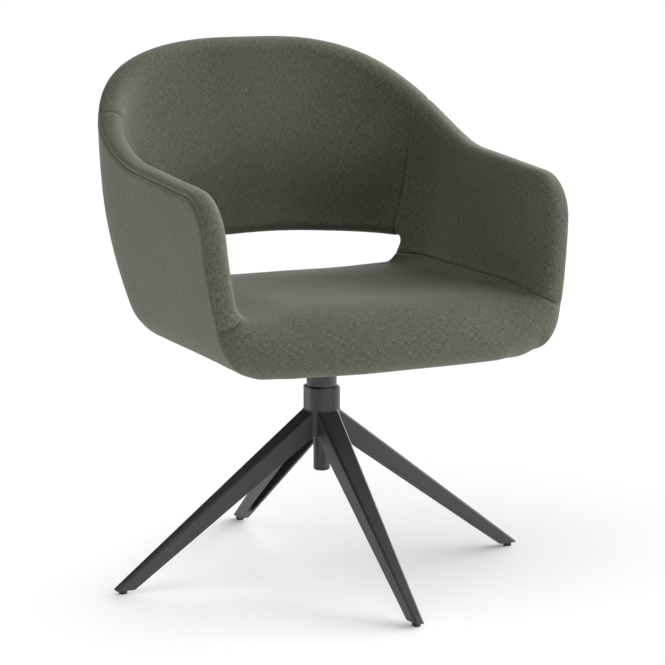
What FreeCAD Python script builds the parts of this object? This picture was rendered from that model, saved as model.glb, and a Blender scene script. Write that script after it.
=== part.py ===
# Upholstered tub guest chair on a four-leg swivel base.
# Frame: origin on the floor under the swivel axis, +Z up, the sitter faces -Y. Millimetres.
import FreeCAD, Part
import math
import os

import Sketcher

doc = FreeCAD.newDocument("guest_chair")
Vec = FreeCAD.Vector

# Driving dimensions: alias, value, what it is
DIMENSIONS = [
    # Base
    ("foot_radius", 326, "swivel axis to the middle of each glide"),
    ("glide_radius", 6.5, "glide pad"),
    ("glide_height", 5.5, "glide pad, floor to leg"),
    ("glide_chamfer", 0.8, "lower edge of the glide pad"),
    ("glide_stem_radius", 3, "stem pressed into the leg"),
    ("glide_stem_length", 11, "stem above the pad"),
    ("leg_overhang", 12, "leg tip past the middle of the glide"),
    ("leg_root_reach", 12, "inner end of each leg, inside the hub"),
    ("leg_root_top", 262.5, "top of the leg at its inner end"),
    ("leg_root_height", 41.5, "upright height of the leg at its inner end"),
    ("leg_tip_top", 8.5, "top of the leg at its tip"),
    ("leg_tip_height", 23.5, "upright height of the leg bar at its tip, before the flat cut"),
    ("leg_root_width", 36.5, "across the leg at its inner end"),
    ("leg_tip_width", 14, "across the leg at its tip"),
    ("leg_edge_round", 4, "rounding along the top edges of a leg"),
    ("channel_start", 48, "inner end of the hollow under a leg"),
    ("channel_margin", 41, "outer end of that hollow to the middle of the glide"),
    ("channel_wall", 4, "wall at the sides and top of the hollow"),
    ("hub_width", 50, "across the flats of the hub"),
    ("hub_corner", 16, "upright corners of the hub"),
    ("hub_rim_round", 2.5, "upper edge of the hub"),
    ("hub_rise", 27.5, "upper face of the hub above the legs"),
    ("hub_height", 76, "hub, top to bottom"),
    ("root_round", 5, "inside corner between the hub and a leg"),
    ("hub_mouth_radius", 24.2, "recess in the hub that the collar dips into"),
    ("hub_mouth_depth", 6, "recess in the hub"),
    # Swivel column
    ("sleeve_radius", 12.7, "column tube, outside"),
    ("sleeve_bore", 10, "column tube, inside radius"),
    ("sleeve_drop", 51, "column tube below the hub"),
    ("cap_lip", 5, "cap below the end of the tube"),
    ("cap_round", 2, "lower edge of the cap"),
    ("cap_plug", 8, "cap inside the tube"),
    ("spindle_radius", 8, "swivel spindle"),
    ("spindle_clearance", 4, "spindle above the cap"),
    ("spindle_tail", 7, "spindle below the lower bush"),
    ("running_fit", 0.05, "spindle to bush, on the radius"),
    ("bush_length", 22, "each bush along the spindle"),
    ("bush_flange_radius", 18, "flange of the upper bush"),
    ("bush_flange", 2, "flange of the upper bush, thickness"),
    ("thrust_washer_thickness", 1.5, "washer that carries the seat"),
    ("axial_play", 0.1, "free play along the spindle"),
    ("clip_thickness", 1.6, "retaining ring"),
    ("clip_groove_radius", 7.2, "groove in the spindle"),
    ("clip_radius", 9.6, "retaining ring, outside"),
    ("clip_opening", 6, "gap in the retaining ring"),
    ("collar_radius", 23, "swivel collar"),
    ("collar_slot_width", 3.5, "locating slot in the collar"),
    ("collar_slot_depth", 3, "locating slot in the collar"),
    ("collar_slot_rise", 6, "lower end of the locating slot above the hub"),
    ("collar_show", 63, "collar between hub and seat plate"),
    # Seat fixing
    ("plate_width", 200, "seat plate, square"),
    ("plate_thickness", 6, "seat plate"),
    ("plate_corner", 22, "corners of the seat plate"),
    ("bolt_spacing", 150, "between bolts, both ways"),
    ("bolt_radius", 4, "mounting bolt"),
    ("bolt_head_radius", 7, "mounting bolt head"),
    ("bolt_head_height", 4.4, "mounting bolt head"),
    ("bolt_tip_inset", 0.6, "bolt tip below the top of the board"),
    ("bolt_washer_radius", 9, "washer under a bolt head"),
    ("bolt_washer_thickness", 1.6, "washer under a bolt head"),
    ("tee_nut_radius", 5, "barrel of the tee nut"),
    ("tee_nut_flange_radius", 10, "flange of the tee nut"),
    ("tee_nut_flange", 1.5, "flange of the tee nut, thickness"),
    ("tee_nut_barrel", 11, "barrel of the tee nut below its flange"),
    ("cover_thickness", 2, "underside cover"),
    ("board_thickness", 15, "plywood seat board"),
    ("board_gap", 3, "board edge to the side panels"),
    # Upholstered shell
    ("rim_half_width", 295, "axis to the outside of an arm at its top"),
    ("side_curve", 266, "height over which the sides curve, above the underside"),
    ("side_tuck", 50.5, "how far the sides draw in at the bottom"),
    ("back_centre", 92, "where the straight arms end and the rounded back starts"),
    ("back_depth", 230.5, "rounded back, back_centre to the outside at the top"),
    ("back_rake", 136, "how far the back draws in at the bottom"),
    ("back_squareness", 2.92, "1 is pointed, 2 is an ellipse, higher is squarer"),
    ("back_curve", 443, "height over which the back curves, above the underside"),
    ("arm_reach", 248, "swivel axis to the front of the arms, at their upper corner"),
    ("arm_rise", 264, "top of the arms at the front, above the underside"),
    ("arm_slope", 0.06, "rise of the arms towards the back"),
    ("climb_lead", 78, "where the rim starts to climb, ahead of back_centre"),
    ("climb_radius", 294, "curvature of that climb at its start"),
    ("arm_taper", 5, "how much the arms close in towards the front"),
    ("front_corner", 62, "upper front corner of an arm, seen from the side"),
    ("front_lower_corner", 38, "lower front corner of an arm, seen from the side"),
    ("front_lean", 0.16, "how much the front of the arms comes forward going down"),
    ("wall", 36, "thickness of arms and back"),
    ("seam_inset", 11, "rolled edge to the seam of the outer panels"),
    ("seam_margin", 1.5, "flat strip between the rolled edge and that seam"),
    ("panel", 6, "outer panel with its padding"),
    ("inner_pad", 17, "inner padding below the rolled edge"),
    ("lower_corner_rise", 51, "height of the rounded lower edge of the shell"),
    ("lower_lip", 4, "outer panel under the shell, past its rounded edge"),
    ("seam_gap", 0.3, "between sewn pieces"),
    ("side_seam_angle", 70, "seam between arms and back, from straight behind"),
    ("opening_height", 60, "opening in the back, at its middle"),
    ("opening_arch", 14, "upper edge of the opening, its middle above its ends"),
    ("cheek_angle", 3, "closed end of the arm padding beside the opening"),
    ("arm_pad_tuck", 6, "arm padding below the seat top"),
    ("pad_clearance", 1.8, "seat padding above the heads of the tab screws"),
    # Seat cushion
    ("seat_thickness", 96, "seat top along the arms, above the underside"),
    ("seat_crown", 4, "middle of the seat above its edges"),
    ("seat_fall", 21, "seat top falls this much to the opening"),
    ("seat_lead", 18, "front of the seat beside the arms, ahead of their upper corner"),
    ("seat_bow", 26, "middle of the seat front ahead of its ends"),
    ("seat_front_upper", 52, "rounding of the seat front, upper"),
    ("seat_front_lower", 36, "rounding of the seat front, lower"),
    ("seat_tuck", 4, "flat part of the seat front under the shell"),
    # Steel frame in the shell
    ("rod_radius", 4, "frame rod"),
    ("rod_drop", 9, "seam to the rim hoop"),
    ("rod_lift", 4, "end of the lower bend of a rod above the rounded lower edge"),
    ("hoop_setback", 62, "front of the arms to the feet of the rim hoop"),
    ("hoop_bend", 40, "upper front bend of the rim hoop"),
    ("upright_angle", 80, "rear uprights, from straight behind"),
    ("cross_rod_rise", 44, "cross rod above the opening"),
    ("tab_length", 64, "frame tab, inwards from the rod"),
    ("tab_width", 20, "frame tab"),
    ("tab_thickness", 3, "frame tab"),
    ("screw_radius", 2.5, "tab screw"),
    ("screw_bite", 9, "tab screw in the board"),
    ("screw_head_radius", 4.5, "tab screw head"),
    ("screw_head_height", 2.2, "tab screw head"),
]


class Size:
    """A sheet value together with the expression that gives it."""

    def __init__(self, value, text):
        self.value = float(value)
        self.text = text

    def joined(self, sign, other, value):
        other_text = other.text if isinstance(other, Size) else str(other)
        return Size(value, f"({self.text} {sign} {other_text})")

    def __add__(self, other):
        return self.joined("+", other, self.value + float(other))

    def __sub__(self, other):
        return self.joined("-", other, self.value - float(other))

    def __mul__(self, other):
        return self.joined("*", other, self.value * float(other))

    def __truediv__(self, other):
        return self.joined("/", other, self.value / float(other))

    def __neg__(self):
        return Size(-self.value, f"(-1 * {self.text})")

    def __float__(self):
        return self.value


class Dimensions:
    """The driving dimensions by name."""


sheet = doc.addObject("Spreadsheet::Sheet", "Sizes")
d = Dimensions()
for row, (alias, value, meaning) in enumerate(DIMENSIONS, start=1):
    sheet.set(f"A{row}", meaning)
    sheet.set(f"B{row}", str(value))
    sheet.setAlias(f"B{row}", alias)
doc.recompute()
for alias, _, _ in DIMENSIONS:
    setattr(d, alias, Size(sheet.get(alias), f"Sizes.{alias}"))

nodes = []


def keep(item, label):
    """Make an object a sub-part of the chair."""
    item.Label = label
    nodes.append(item)
    return item


def bind(item, **properties):
    """Tie properties of an object to the sheet."""
    for name, size in properties.items():
        item.setExpression(name, size.text)
    return item


def origin_feature(body, role):
    return next(item for item in body.Origin.OriginFeatures if item.Role == role)


def outline_sketch(body, name, corners):
    """A closed outline of straight lines in the XZ plane, each corner tied to the sheet."""
    sketch = body.newObject("Sketcher::SketchObject", name)
    sketch.AttachmentSupport = (origin_feature(body, "XZ_Plane"), "")
    sketch.MapMode = "FlatFace"
    points = [Vec(float(across), float(up), 0) for across, up in corners]
    count = len(points)
    for index, point in enumerate(points):
        sketch.addGeometry(Part.LineSegment(point, points[(index + 1) % count]), False)
    for index in range(count):
        sketch.addConstraint(Sketcher.Constraint("Coincident", index, 2, (index + 1) % count, 1))
    for index, corner in enumerate(corners):
        for kind, axis, size in zip(("DistanceX", "DistanceY"), (-2, -1), corner):
            if float(size) == 0:
                sketch.addConstraint(Sketcher.Constraint("PointOnObject", index, 1, axis))
                continue
            number = sketch.addConstraint(Sketcher.Constraint(kind, -1, 1, index, 1, float(size)))
            sketch.setExpression(f"Constraints[{number}]", size.text)
    return sketch


def turned_body(label, corners):
    """A piece turned on the swivel axis from an outline of radius and height."""
    body = doc.addObject("PartDesign::Body", label)
    sketch = outline_sketch(body, f"{label}_outline", corners)
    turn = body.newObject("PartDesign::Revolution", f"{label}_turn")
    turn.Profile = sketch
    turn.ReferenceAxis = (sketch, ["V_Axis"])
    turn.Angle = 360
    doc.recompute()
    return keep(body, label)


def ring_corners(inner, outer, bottom, top):
    return [(inner, bottom), (outer, bottom), (outer, top), (inner, top)]


def plain_feature(label, shape):
    """A sub-part whose shape is worked out from the sheet."""
    item = doc.addObject("Part::Feature", label)
    item.Shape = shape
    return keep(item, label)


def primitive(kind, name, **properties):
    return bind(doc.addObject(kind, name), **properties)


def combined(kind, name, first, second):
    item = doc.addObject(kind, name)
    item.Base = first
    item.Tool = second
    return item


def joined_pieces(name, pieces):
    item = doc.addObject("Part::MultiFuse", name)
    item.Shapes = pieces
    return item


QUARTER_TURNS = {"right": 0, "rear": 90, "left": 180, "front": 270}
UPRIGHT = Vec(0, 0, 1)


def turned_to(angle):
    return FreeCAD.Placement(Vec(), FreeCAD.Rotation(UPRIGHT, angle))


# Base casting: hub and four tapered legs in one aluminium casting
leg_tip = d.foot_radius + d.leg_overhang
hub_top = d.leg_root_top + d.hub_rise
hub_foot = hub_top - d.hub_height


def leg_level_at(reach, at_root, at_tip):
    """A leg measure between its inner end and its tip."""
    share = (reach - d.leg_root_reach) / (leg_tip - d.leg_root_reach)
    return (at_tip - at_root) * share + at_root


def leg_bar(name, start, end, half_widths, bottoms, tops):
    """A tapered bar that points along +X, given by its two upright ends."""
    return primitive(
        "Part::Wedge", name, Xmin=-half_widths[0], Xmax=half_widths[0], X2min=-half_widths[1],
        X2max=half_widths[1], Ymin=start, Ymax=end, Zmin=bottoms[0], Zmax=tops[0], Z2min=bottoms[1],
        Z2max=tops[1])


def rounded_leg(side, angle):
    leg = leg_bar(
        f"leg_bar_{side}", d.leg_root_reach, leg_tip, (d.leg_root_width / 2, d.leg_tip_width / 2),
        (d.leg_root_top - d.leg_root_height, d.leg_tip_top - d.leg_tip_height),
        (d.leg_root_top, d.leg_tip_top))
    doc.recompute()
    tops = [number for number, edge in enumerate(leg.Shape.Edges, start=1)
            if abs(edge.BoundBox.ZMax - float(d.leg_root_top)) < 0.01
            and abs(edge.BoundBox.ZMin - float(d.leg_tip_top)) < 0.01]
    rounded = doc.addObject("Part::Fillet", f"leg_rounded_{side}")
    rounded.Base = leg
    rounded.Edges = [(number, float(d.leg_edge_round), float(d.leg_edge_round)) for number in tops]
    rounded.Placement = turned_to(angle - 90)
    return rounded


def leg_hollow(side, angle):
    """The open channel on the underside of a leg."""
    channel_end = d.foot_radius - d.channel_margin
    reaches = (d.channel_start, channel_end)
    halves = [leg_level_at(reach, d.leg_root_width, d.leg_tip_width) / 2 - d.channel_wall
              for reach in reaches]
    tops = [leg_level_at(reach, d.leg_root_top, d.leg_tip_top) - d.channel_wall * 3 for reach in reaches]
    bottoms = [leg_level_at(reach, d.leg_root_top - d.leg_root_height, d.leg_tip_top - d.leg_tip_height)
               - d.channel_wall for reach in reaches]
    hollow = leg_bar(f"leg_hollow_{side}", d.channel_start, channel_end, halves, bottoms, tops)
    hollow.Placement = turned_to(angle - 90)
    return hollow


def meets_hub(box):
    """Whether an edge with this bounding box lies between a leg and a side of the hub."""
    reach = max(-box.XMin, box.XMax, -box.YMin, box.YMax)
    margin = float(d.hub_rim_round) / 2
    on_side = reach < float(d.hub_width) / 2 + margin
    return on_side and float(hub_foot) + margin < box.ZMax < float(hub_top) - float(d.hub_rim_round) - margin


def base_casting():
    block = primitive("Part::Box", "hub_block", Length=d.hub_width, Width=d.hub_width,
                      Height=hub_top - hub_foot)
    bind(block, **{"Placement.Base.x": -d.hub_width / 2, "Placement.Base.y": -d.hub_width / 2,
                   "Placement.Base.z": hub_foot})
    doc.recompute()
    corner = float(d.hub_corner)
    hub = doc.addObject("Part::Fillet", "hub_rounded")
    hub.Base = block
    hub.Edges = [(number, corner, corner) for number, edge in enumerate(block.Shape.Edges, start=1)
                 if edge.BoundBox.ZLength > 1]
    doc.recompute()
    rim = float(d.hub_rim_round)
    rimmed = doc.addObject("Part::Fillet", "hub_rimmed")
    rimmed.Base = hub
    rimmed.Edges = [(number, rim, rim) for number, edge in enumerate(hub.Shape.Edges, start=1)
                    if edge.BoundBox.ZMin > float(hub_top) - 0.01]
    legs = [rounded_leg(side, angle) for side, angle in QUARTER_TURNS.items()]
    sharp = joined_pieces("casting_sharp", [rimmed] + legs)
    doc.recompute()
    root = float(d.root_round)
    solid = doc.addObject("Part::Fillet", "casting_solid")
    solid.Base = sharp
    solid.Edges = [(number, root, root) for number, edge in enumerate(sharp.Shape.Edges, start=1)
                   if meets_hub(edge.BoundBox)]
    cutters = [leg_hollow(side, angle) for side, angle in QUARTER_TURNS.items()]
    bore = primitive("Part::Cylinder", "hub_bore", Radius=d.sleeve_radius, Height=hub_top)
    mouth = primitive("Part::Cylinder", "hub_mouth", Radius=d.hub_mouth_radius, Height=d.hub_mouth_depth)
    bind(mouth, **{"Placement.Base.z": hub_top - d.hub_mouth_depth})
    floor = primitive("Part::Box", "foot_cut", Length=leg_tip * 3, Width=leg_tip * 3,
                      Height=d.glide_height + d.leg_tip_height)
    bind(floor, **{"Placement.Base.x": -leg_tip * 1.5, "Placement.Base.y": -leg_tip * 1.5,
                   "Placement.Base.z": -d.leg_tip_height})
    cutters += [bore, mouth, floor]
    for side, angle in QUARTER_TURNS.items():
        hole = primitive("Part::Cylinder", f"glide_hole_{side}", Radius=d.glide_stem_radius,
                         Height=d.glide_stem_length)
        turn = math.radians(angle)
        bind(hole, **{"Placement.Base.x": d.foot_radius * round(math.cos(turn)),
                      "Placement.Base.y": d.foot_radius * round(math.sin(turn)),
                      "Placement.Base.z": d.glide_height})
        cutters.append(hole)
    return combined("Part::Cut", "casting", solid, joined_pieces("casting_cutters", cutters))


keep(base_casting(), "base_casting")

# Glides: moulded pads with a stem pressed up into each leg
zero = d.glide_height - d.glide_height
for side, angle in QUARTER_TURNS.items():
    glide = turned_body(f"glide_{side}", [
        (zero, zero),
        (d.glide_radius - d.glide_chamfer, zero),
        (d.glide_radius, d.glide_chamfer),
        (d.glide_radius, d.glide_height),
        (d.glide_stem_radius, d.glide_height),
        (d.glide_stem_radius, d.glide_height + d.glide_stem_length),
        (zero, d.glide_height + d.glide_stem_length)])
    turn = math.radians(angle)
    bind(glide, **{"Placement.Base.x": d.foot_radius * round(math.cos(turn)),
                   "Placement.Base.y": d.foot_radius * round(math.sin(turn))})

# Swivel column: tube pressed into the hub, two bushes, thrust washer and end cap
mouth_floor = hub_top - d.hub_mouth_depth
sleeve_bottom = hub_foot - d.sleeve_drop
spindle_bottom = sleeve_bottom + d.cap_plug + d.spindle_clearance
lower_bush_bottom = spindle_bottom + d.spindle_tail
washer_bottom = mouth_floor + d.bush_flange
collar_bottom = washer_bottom + d.thrust_washer_thickness + d.axial_play
bush_bore = d.spindle_radius + d.running_fit
turned_body("column_sleeve", ring_corners(d.sleeve_bore, d.sleeve_radius, sleeve_bottom, mouth_floor))
turned_body("upper_bush", [
    (bush_bore, mouth_floor - d.bush_length),
    (d.sleeve_bore, mouth_floor - d.bush_length),
    (d.sleeve_bore, mouth_floor),
    (d.bush_flange_radius, mouth_floor),
    (d.bush_flange_radius, washer_bottom),
    (bush_bore, washer_bottom)])
turned_body("lower_bush", ring_corners(
    bush_bore, d.sleeve_bore, lower_bush_bottom, lower_bush_bottom + d.bush_length))
turned_body("thrust_washer", ring_corners(
    bush_bore + d.axial_play, d.bush_flange_radius, washer_bottom,
    washer_bottom + d.thrust_washer_thickness))
turned_body("sleeve_cap", [
    (zero, sleeve_bottom - d.cap_lip),
    (d.sleeve_radius - d.cap_round, sleeve_bottom - d.cap_lip),
    (d.sleeve_radius, sleeve_bottom - d.cap_lip + d.cap_round),
    (d.sleeve_radius, sleeve_bottom),
    (d.sleeve_bore, sleeve_bottom),
    (d.sleeve_bore, sleeve_bottom + d.cap_plug),
    (zero, sleeve_bottom + d.cap_plug)])

# Spindle with its retaining ring, welded up into the seat plate
plate_bottom = hub_top + d.collar_show
plate_top = plate_bottom + d.plate_thickness
retainer_top = lower_bush_bottom - d.axial_play
clip_top = retainer_top - d.thrust_washer_thickness
clip_bottom = clip_top - d.clip_thickness
turned_body("spindle", [
    (zero, spindle_bottom),
    (d.spindle_radius, spindle_bottom),
    (d.spindle_radius, clip_bottom),
    (d.clip_groove_radius, clip_bottom),
    (d.clip_groove_radius, clip_top),
    (d.spindle_radius, clip_top),
    (d.spindle_radius, plate_top),
    (zero, plate_top)])
turned_body("retaining_washer", ring_corners(
    bush_bore + d.axial_play, d.clip_radius, clip_top, retainer_top))


def bored_ring(name, outer, inner, bottom, height):
    ring = primitive("Part::Cylinder", f"{name}_outside", Radius=outer, Height=height)
    bore = primitive("Part::Cylinder", f"{name}_bore", Radius=inner, Height=height)
    for piece in (ring, bore):
        bind(piece, **{"Placement.Base.z": bottom})
    return combined("Part::Cut", f"{name}_ring", ring, bore)


clip_gap = primitive("Part::Box", "clip_gap", Length=d.clip_radius * 2, Width=d.clip_opening,
                     Height=d.clip_thickness)
bind(clip_gap, **{"Placement.Base.y": -d.clip_opening / 2, "Placement.Base.z": clip_bottom})
clip_ring = bored_ring("clip", d.clip_radius, d.clip_groove_radius, clip_bottom, d.clip_thickness)
keep(combined("Part::Cut", "clip", clip_ring, clip_gap), "retaining_ring")

# Swivel collar: turned steel sleeve between hub and seat plate, slotted on the left
collar_ring = bored_ring("collar", d.collar_radius, d.spindle_radius, collar_bottom,
                         plate_bottom - collar_bottom)
slot_start = hub_top + d.collar_slot_rise
collar_slot = primitive("Part::Box", "collar_slot", Length=d.collar_slot_depth * 2,
                        Width=d.collar_slot_width, Height=plate_bottom - slot_start)
bind(collar_slot, **{"Placement.Base.x": -d.collar_radius - d.collar_slot_depth,
                     "Placement.Base.y": -d.collar_slot_width / 2,
                     "Placement.Base.z": slot_start})
keep(combined("Part::Cut", "collar", collar_ring, collar_slot), "swivel_collar")


# Seat plate, bolts, washers and tee nuts
def bolt_places():
    half = float(d.bolt_spacing) / 2
    return [Vec(x, y, 0) for x in (-half, half) for y in (-half, half)]


def cylinder(radius, bottom, top, place=Vec()):
    return Part.makeCylinder(float(radius), float(top) - float(bottom),
                             Vec(place.x, place.y, float(bottom)))


def bolt_group(label, make_one):
    return plain_feature(label, Part.makeCompound([make_one(place) for place in bolt_places()]))


plate_block = primitive("Part::Box", "plate_block", Length=d.plate_width, Width=d.plate_width,
                        Height=d.plate_thickness)
bind(plate_block, **{"Placement.Base.x": -d.plate_width / 2, "Placement.Base.y": -d.plate_width / 2,
                     "Placement.Base.z": plate_bottom})
doc.recompute()
plate_rounded = doc.addObject("Part::Fillet", "plate_rounded")
plate_rounded.Base = plate_block
plate_rounded.Edges = [(number, float(d.plate_corner), float(d.plate_corner))
                       for number, edge in enumerate(plate_block.Shape.Edges, start=1)
                       if edge.BoundBox.ZLength > float(d.plate_thickness) / 2]
plate_holes = [primitive("Part::Cylinder", "plate_bore", Radius=d.spindle_radius,
                         Height=plate_top)]
for number, (across, back) in enumerate([(-1, -1), (-1, 1), (1, -1), (1, 1)], start=1):
    hole = primitive("Part::Cylinder", f"plate_hole_{number}", Radius=d.bolt_radius,
                     Height=plate_top)
    bind(hole, **{"Placement.Base.x": d.bolt_spacing / 2 * across,
                  "Placement.Base.y": d.bolt_spacing / 2 * back})
    plate_holes.append(hole)
keep(combined("Part::Cut", "plate", plate_rounded, joined_pieces("plate_cutters", plate_holes)),
     "seat_plate")

head_top = plate_bottom - d.bolt_washer_thickness
cover_top = plate_top + d.cover_thickness
board_top = cover_top + d.board_thickness


def mounting_bolt(place):
    head = cylinder(d.bolt_head_radius, head_top - d.bolt_head_height, head_top, place)
    rim = [edge for edge in head.Edges if edge.BoundBox.ZMax < float(head_top) - 1]
    head = head.makeFillet(float(d.bolt_head_height) * 0.45, rim)
    return head.fuse(cylinder(d.bolt_radius, head_top, board_top - d.bolt_tip_inset, place)).removeSplitter()


def bolt_washer(place):
    disc = cylinder(d.bolt_washer_radius, head_top, plate_bottom, place)
    return disc.cut(cylinder(d.bolt_radius, head_top, plate_bottom, place))


def tee_nut(place):
    flange = cylinder(d.tee_nut_flange_radius, board_top, board_top + d.tee_nut_flange, place)
    barrel = cylinder(d.tee_nut_radius, board_top - d.tee_nut_barrel, board_top, place)
    nut = flange.fuse(barrel).removeSplitter()
    return nut.cut(cylinder(d.bolt_radius, board_top - d.tee_nut_barrel,
                            board_top + d.tee_nut_flange, place))


bolt_group("mounting_bolts", mounting_bolt)
bolt_group("bolt_washers", bolt_washer)
bolt_group("tee_nuts", tee_nut)


# Form of the shell: sides and back by height
shell_bottom = float(plate_top)
full_width_level = shell_bottom + float(d.side_curve)
back_height = shell_bottom + float(d.back_curve)


def half_width(level):
    """Outside of an arm from the middle of the chair, at a height."""
    tuck = max(0.0, (full_width_level - level) / float(d.side_curve))
    return float(d.rim_half_width) - float(d.side_tuck) * tuck ** 2


def back_reach(level):
    """Outside of the back from back_centre, at a height."""
    tuck = max(0.0, (back_height - level) / float(d.back_curve))
    return float(d.back_depth) - float(d.back_rake) * tuck ** 2


def plan_reach(turn, across, back):
    """Rounded plan of the back: distance from back_centre at an angle from straight behind."""
    power = float(d.back_squareness)
    return ((abs(math.sin(turn)) / across) ** power + (abs(math.cos(turn)) / back) ** power) ** (-1 / power)


def rounded_rear(right):
    """Arcs round the rear through points on its right half, the last one in the middle."""
    points = right + [Vec(-point.x, point.y, point.z) for point in reversed(right[:-1])]
    return points, [arc(*points[index:index + 3]) for index in range(0, len(points) - 2, 2)]


def corner_drop(ahead, radius):
    """How far a rounded front corner lies below its top, this far behind its front."""
    short = max(0.0, radius - ahead)
    return radius - math.sqrt(max(0.0, radius ** 2 - short ** 2))


wall = float(d.wall)
edge_round = wall / 2
inner_face = wall - float(d.inner_pad)
gap = float(d.seam_gap)
panel = float(d.panel)
corner_top = shell_bottom + float(d.lower_corner_rise)
tab_top = float(board_top + d.tab_thickness)
pad_bottom = tab_top + float(d.screw_head_height + d.pad_clearance)
seat_edge_level = shell_bottom + float(d.seat_thickness)
arm_pad_bottom = seat_edge_level - float(d.arm_pad_tuck)
opening_bottom = seat_edge_level - float(d.seat_fall)
opening_top = opening_bottom + float(d.opening_height)
arm_front = -float(d.arm_reach)
arm_height = shell_bottom + float(d.arm_rise)
front_corner = float(d.front_corner)
corner_level = arm_height - front_corner
back_centre = float(d.back_centre)
climb_start = back_centre - float(d.climb_lead)
seam_inset = float(d.seam_inset)
roll_rise = seam_inset - float(d.seam_margin)
arm_length = back_centre - arm_front


class Station:
    """An upright cut through the wall of the shell."""

    def rim_level(self, along):
        """Height of the rolled edge by its place along the chair, before the front corner."""
        height = arm_height + float(d.arm_slope) * (along - arm_front)
        return height + max(0.0, along - climb_start) ** 2 / (2 * float(d.climb_radius))

    def lower_edge(self):
        """Start slope and radius of the rounded lower edge, which leaves the wall tangent."""
        slope = math.atan((self.outside(corner_top + 1) - self.outside(corner_top - 1)) / 2)
        return slope, (corner_top - shell_bottom) / (1 - math.sin(slope))

    def corner(self, turn, inset):
        """A point of the lower edge where the surface faces down by turn, inset from outside."""
        slope, radius = self.lower_edge()
        depth = radius * math.cos(slope) - (radius - inset) * math.cos(turn)
        level = corner_top + radius * math.sin(slope) - (radius - inset) * math.sin(turn)
        return self.under(level, depth)

    def corner_arc(self, inset):
        """Start, middle and end of the lower edge."""
        slope, _ = self.lower_edge()
        turns = (slope, (slope + math.pi / 2) / 2, math.pi / 2)
        return [self.corner(turn, inset) for turn in turns]

    def corner_at(self, level, inset):
        """The point of the lower edge at a height."""
        slope, radius = self.lower_edge()
        below = corner_top + radius * math.sin(slope) - level
        return self.corner(math.asin(below / (radius - inset)), inset)

    def lip_depth(self):
        """Depth of the inner end of the panel underneath."""
        slope, radius = self.lower_edge()
        return radius * math.cos(slope) + float(d.lower_lip)


class ArmStation(Station):
    """A cut across the right arm; place is where it meets the middle of the front corner."""

    def __init__(self, place):
        self.place = place
        self.share = (back_centre - place) / arm_length

    def outside(self, level):
        return half_width(level) - float(d.arm_taper) * self.share

    def along(self, level):
        """The cuts lean forward going down, most at the front."""
        return self.place - float(d.front_lean) * self.share * (corner_level - level)

    def point(self, level, depth):
        return Vec(self.outside(level) - depth, self.along(level), level)

    def under(self, level, depth):
        return Vec(self.outside(corner_top) - depth, self.along(level), level)

    def rim(self):
        return self.rim_level(self.place) - corner_drop(self.place - arm_front, front_corner)

    def seam(self):
        ahead = self.place - arm_front - seam_inset
        return self.rim_level(self.place) - seam_inset - corner_drop(ahead, front_corner - seam_inset)


class BackStation(Station):
    """A cut through the rounded back, at an angle from straight behind."""

    def __init__(self, angle):
        self.turn = math.radians(angle)

    def reach(self, level, depth):
        return plan_reach(self.turn, half_width(level) - depth, back_reach(level) - depth)

    def outside(self, level):
        return self.reach(level, 0)

    def placed(self, reach, level):
        return Vec(reach * math.sin(self.turn), back_centre + reach * math.cos(self.turn), level)

    def point(self, level, depth):
        return self.placed(self.reach(level, depth), level)

    def under(self, level, depth):
        return self.placed(self.reach(corner_top, 0) - depth, level)

    def rim(self):
        return self.rim_level(self.point(back_height, edge_round).y)

    def seam(self):
        return self.rim() - seam_inset


def line(start, end):
    return Part.LineSegment(start, end).toShape()


def arc(start, middle, end):
    return Part.Arc(start, middle, end).toShape()


def lofted(sections):
    return Part.makeLoft([Part.Wire(edges) for edges in sections], True, False)


def two_arcs(points):
    return [arc(*points[:3]), arc(*points[2:])]


def wall_curve(station, start, end, depth):
    """The wall between two heights at one depth."""
    return two_arcs([station.point(start + step / 4 * (end - start), depth) for step in range(5)])


def wall_from_edge(station, top, inset):
    """The wall from the rounded lower edge up, inset from outside."""
    points = [station.corner_arc(inset)[0]]
    start = points[0].z
    slope, _ = station.lower_edge()
    for share in (0.25, 0.5, 0.75, 1):
        depth = inset * (math.cos(slope) * (1 - share) + share)
        points.append(station.point(start + share * (top - start), depth))
    return two_arcs(points)


def roll_points(station, rim, inset, upward):
    """Five points over a rolled edge, outside to inside, tighter outside where the seam is."""
    radius = edge_round - inset
    points = []
    for step in range(5):
        turn = step * math.pi / 4
        height = roll_rise * radius / edge_round if step < 2 else radius
        rise = height * (math.sin(turn) - 1)
        points.append(station.point(rim + upward * rise, inset + radius * (1 - math.cos(turn))))
    return points


def rolled_section(station, rim, seam, bottom):
    """Rolled edge with the inner padding below it, open to the outer panel."""
    over = roll_points(station, rim, 0, 1)
    edges = [line(station.point(seam, 0), over[0])]
    edges += two_arcs(over)
    edges += wall_curve(station, rim - edge_round, bottom, wall)
    edges.append(line(station.point(bottom, wall), station.point(bottom, inner_face)))
    edges += wall_curve(station, bottom, seam, inner_face)
    edges.append(line(station.point(seam, inner_face), station.point(seam, 0)))
    return edges


def opening_edge(station):
    """Upper edge of the opening at a cut, a shallow arch from arm seam to arm seam."""
    share = station.turn / math.radians(float(d.side_seam_angle))
    return opening_top - float(d.opening_arch) * share ** 2


def back_section(station):
    """Padding of the back: rolled at the rim and again over the opening."""
    rim = station.rim()
    seam = station.seam()
    foot = opening_edge(station)
    foot_seam = foot + seam_inset
    over = roll_points(station, rim, 0, 1)
    under = roll_points(station, foot, 0, -1)[::-1]
    edges = [line(station.point(seam, 0), over[0])]
    edges += two_arcs(over)
    edges += wall_curve(station, rim - edge_round, foot + edge_round, wall)
    edges += two_arcs(under)
    edges.append(line(under[-1], station.point(foot_seam, 0)))
    edges.append(line(station.point(foot_seam, 0), station.point(foot_seam, inner_face)))
    edges += wall_curve(station, foot_seam, seam, inner_face)
    edges.append(line(station.point(seam, inner_face), station.point(seam, 0)))
    return edges


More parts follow.
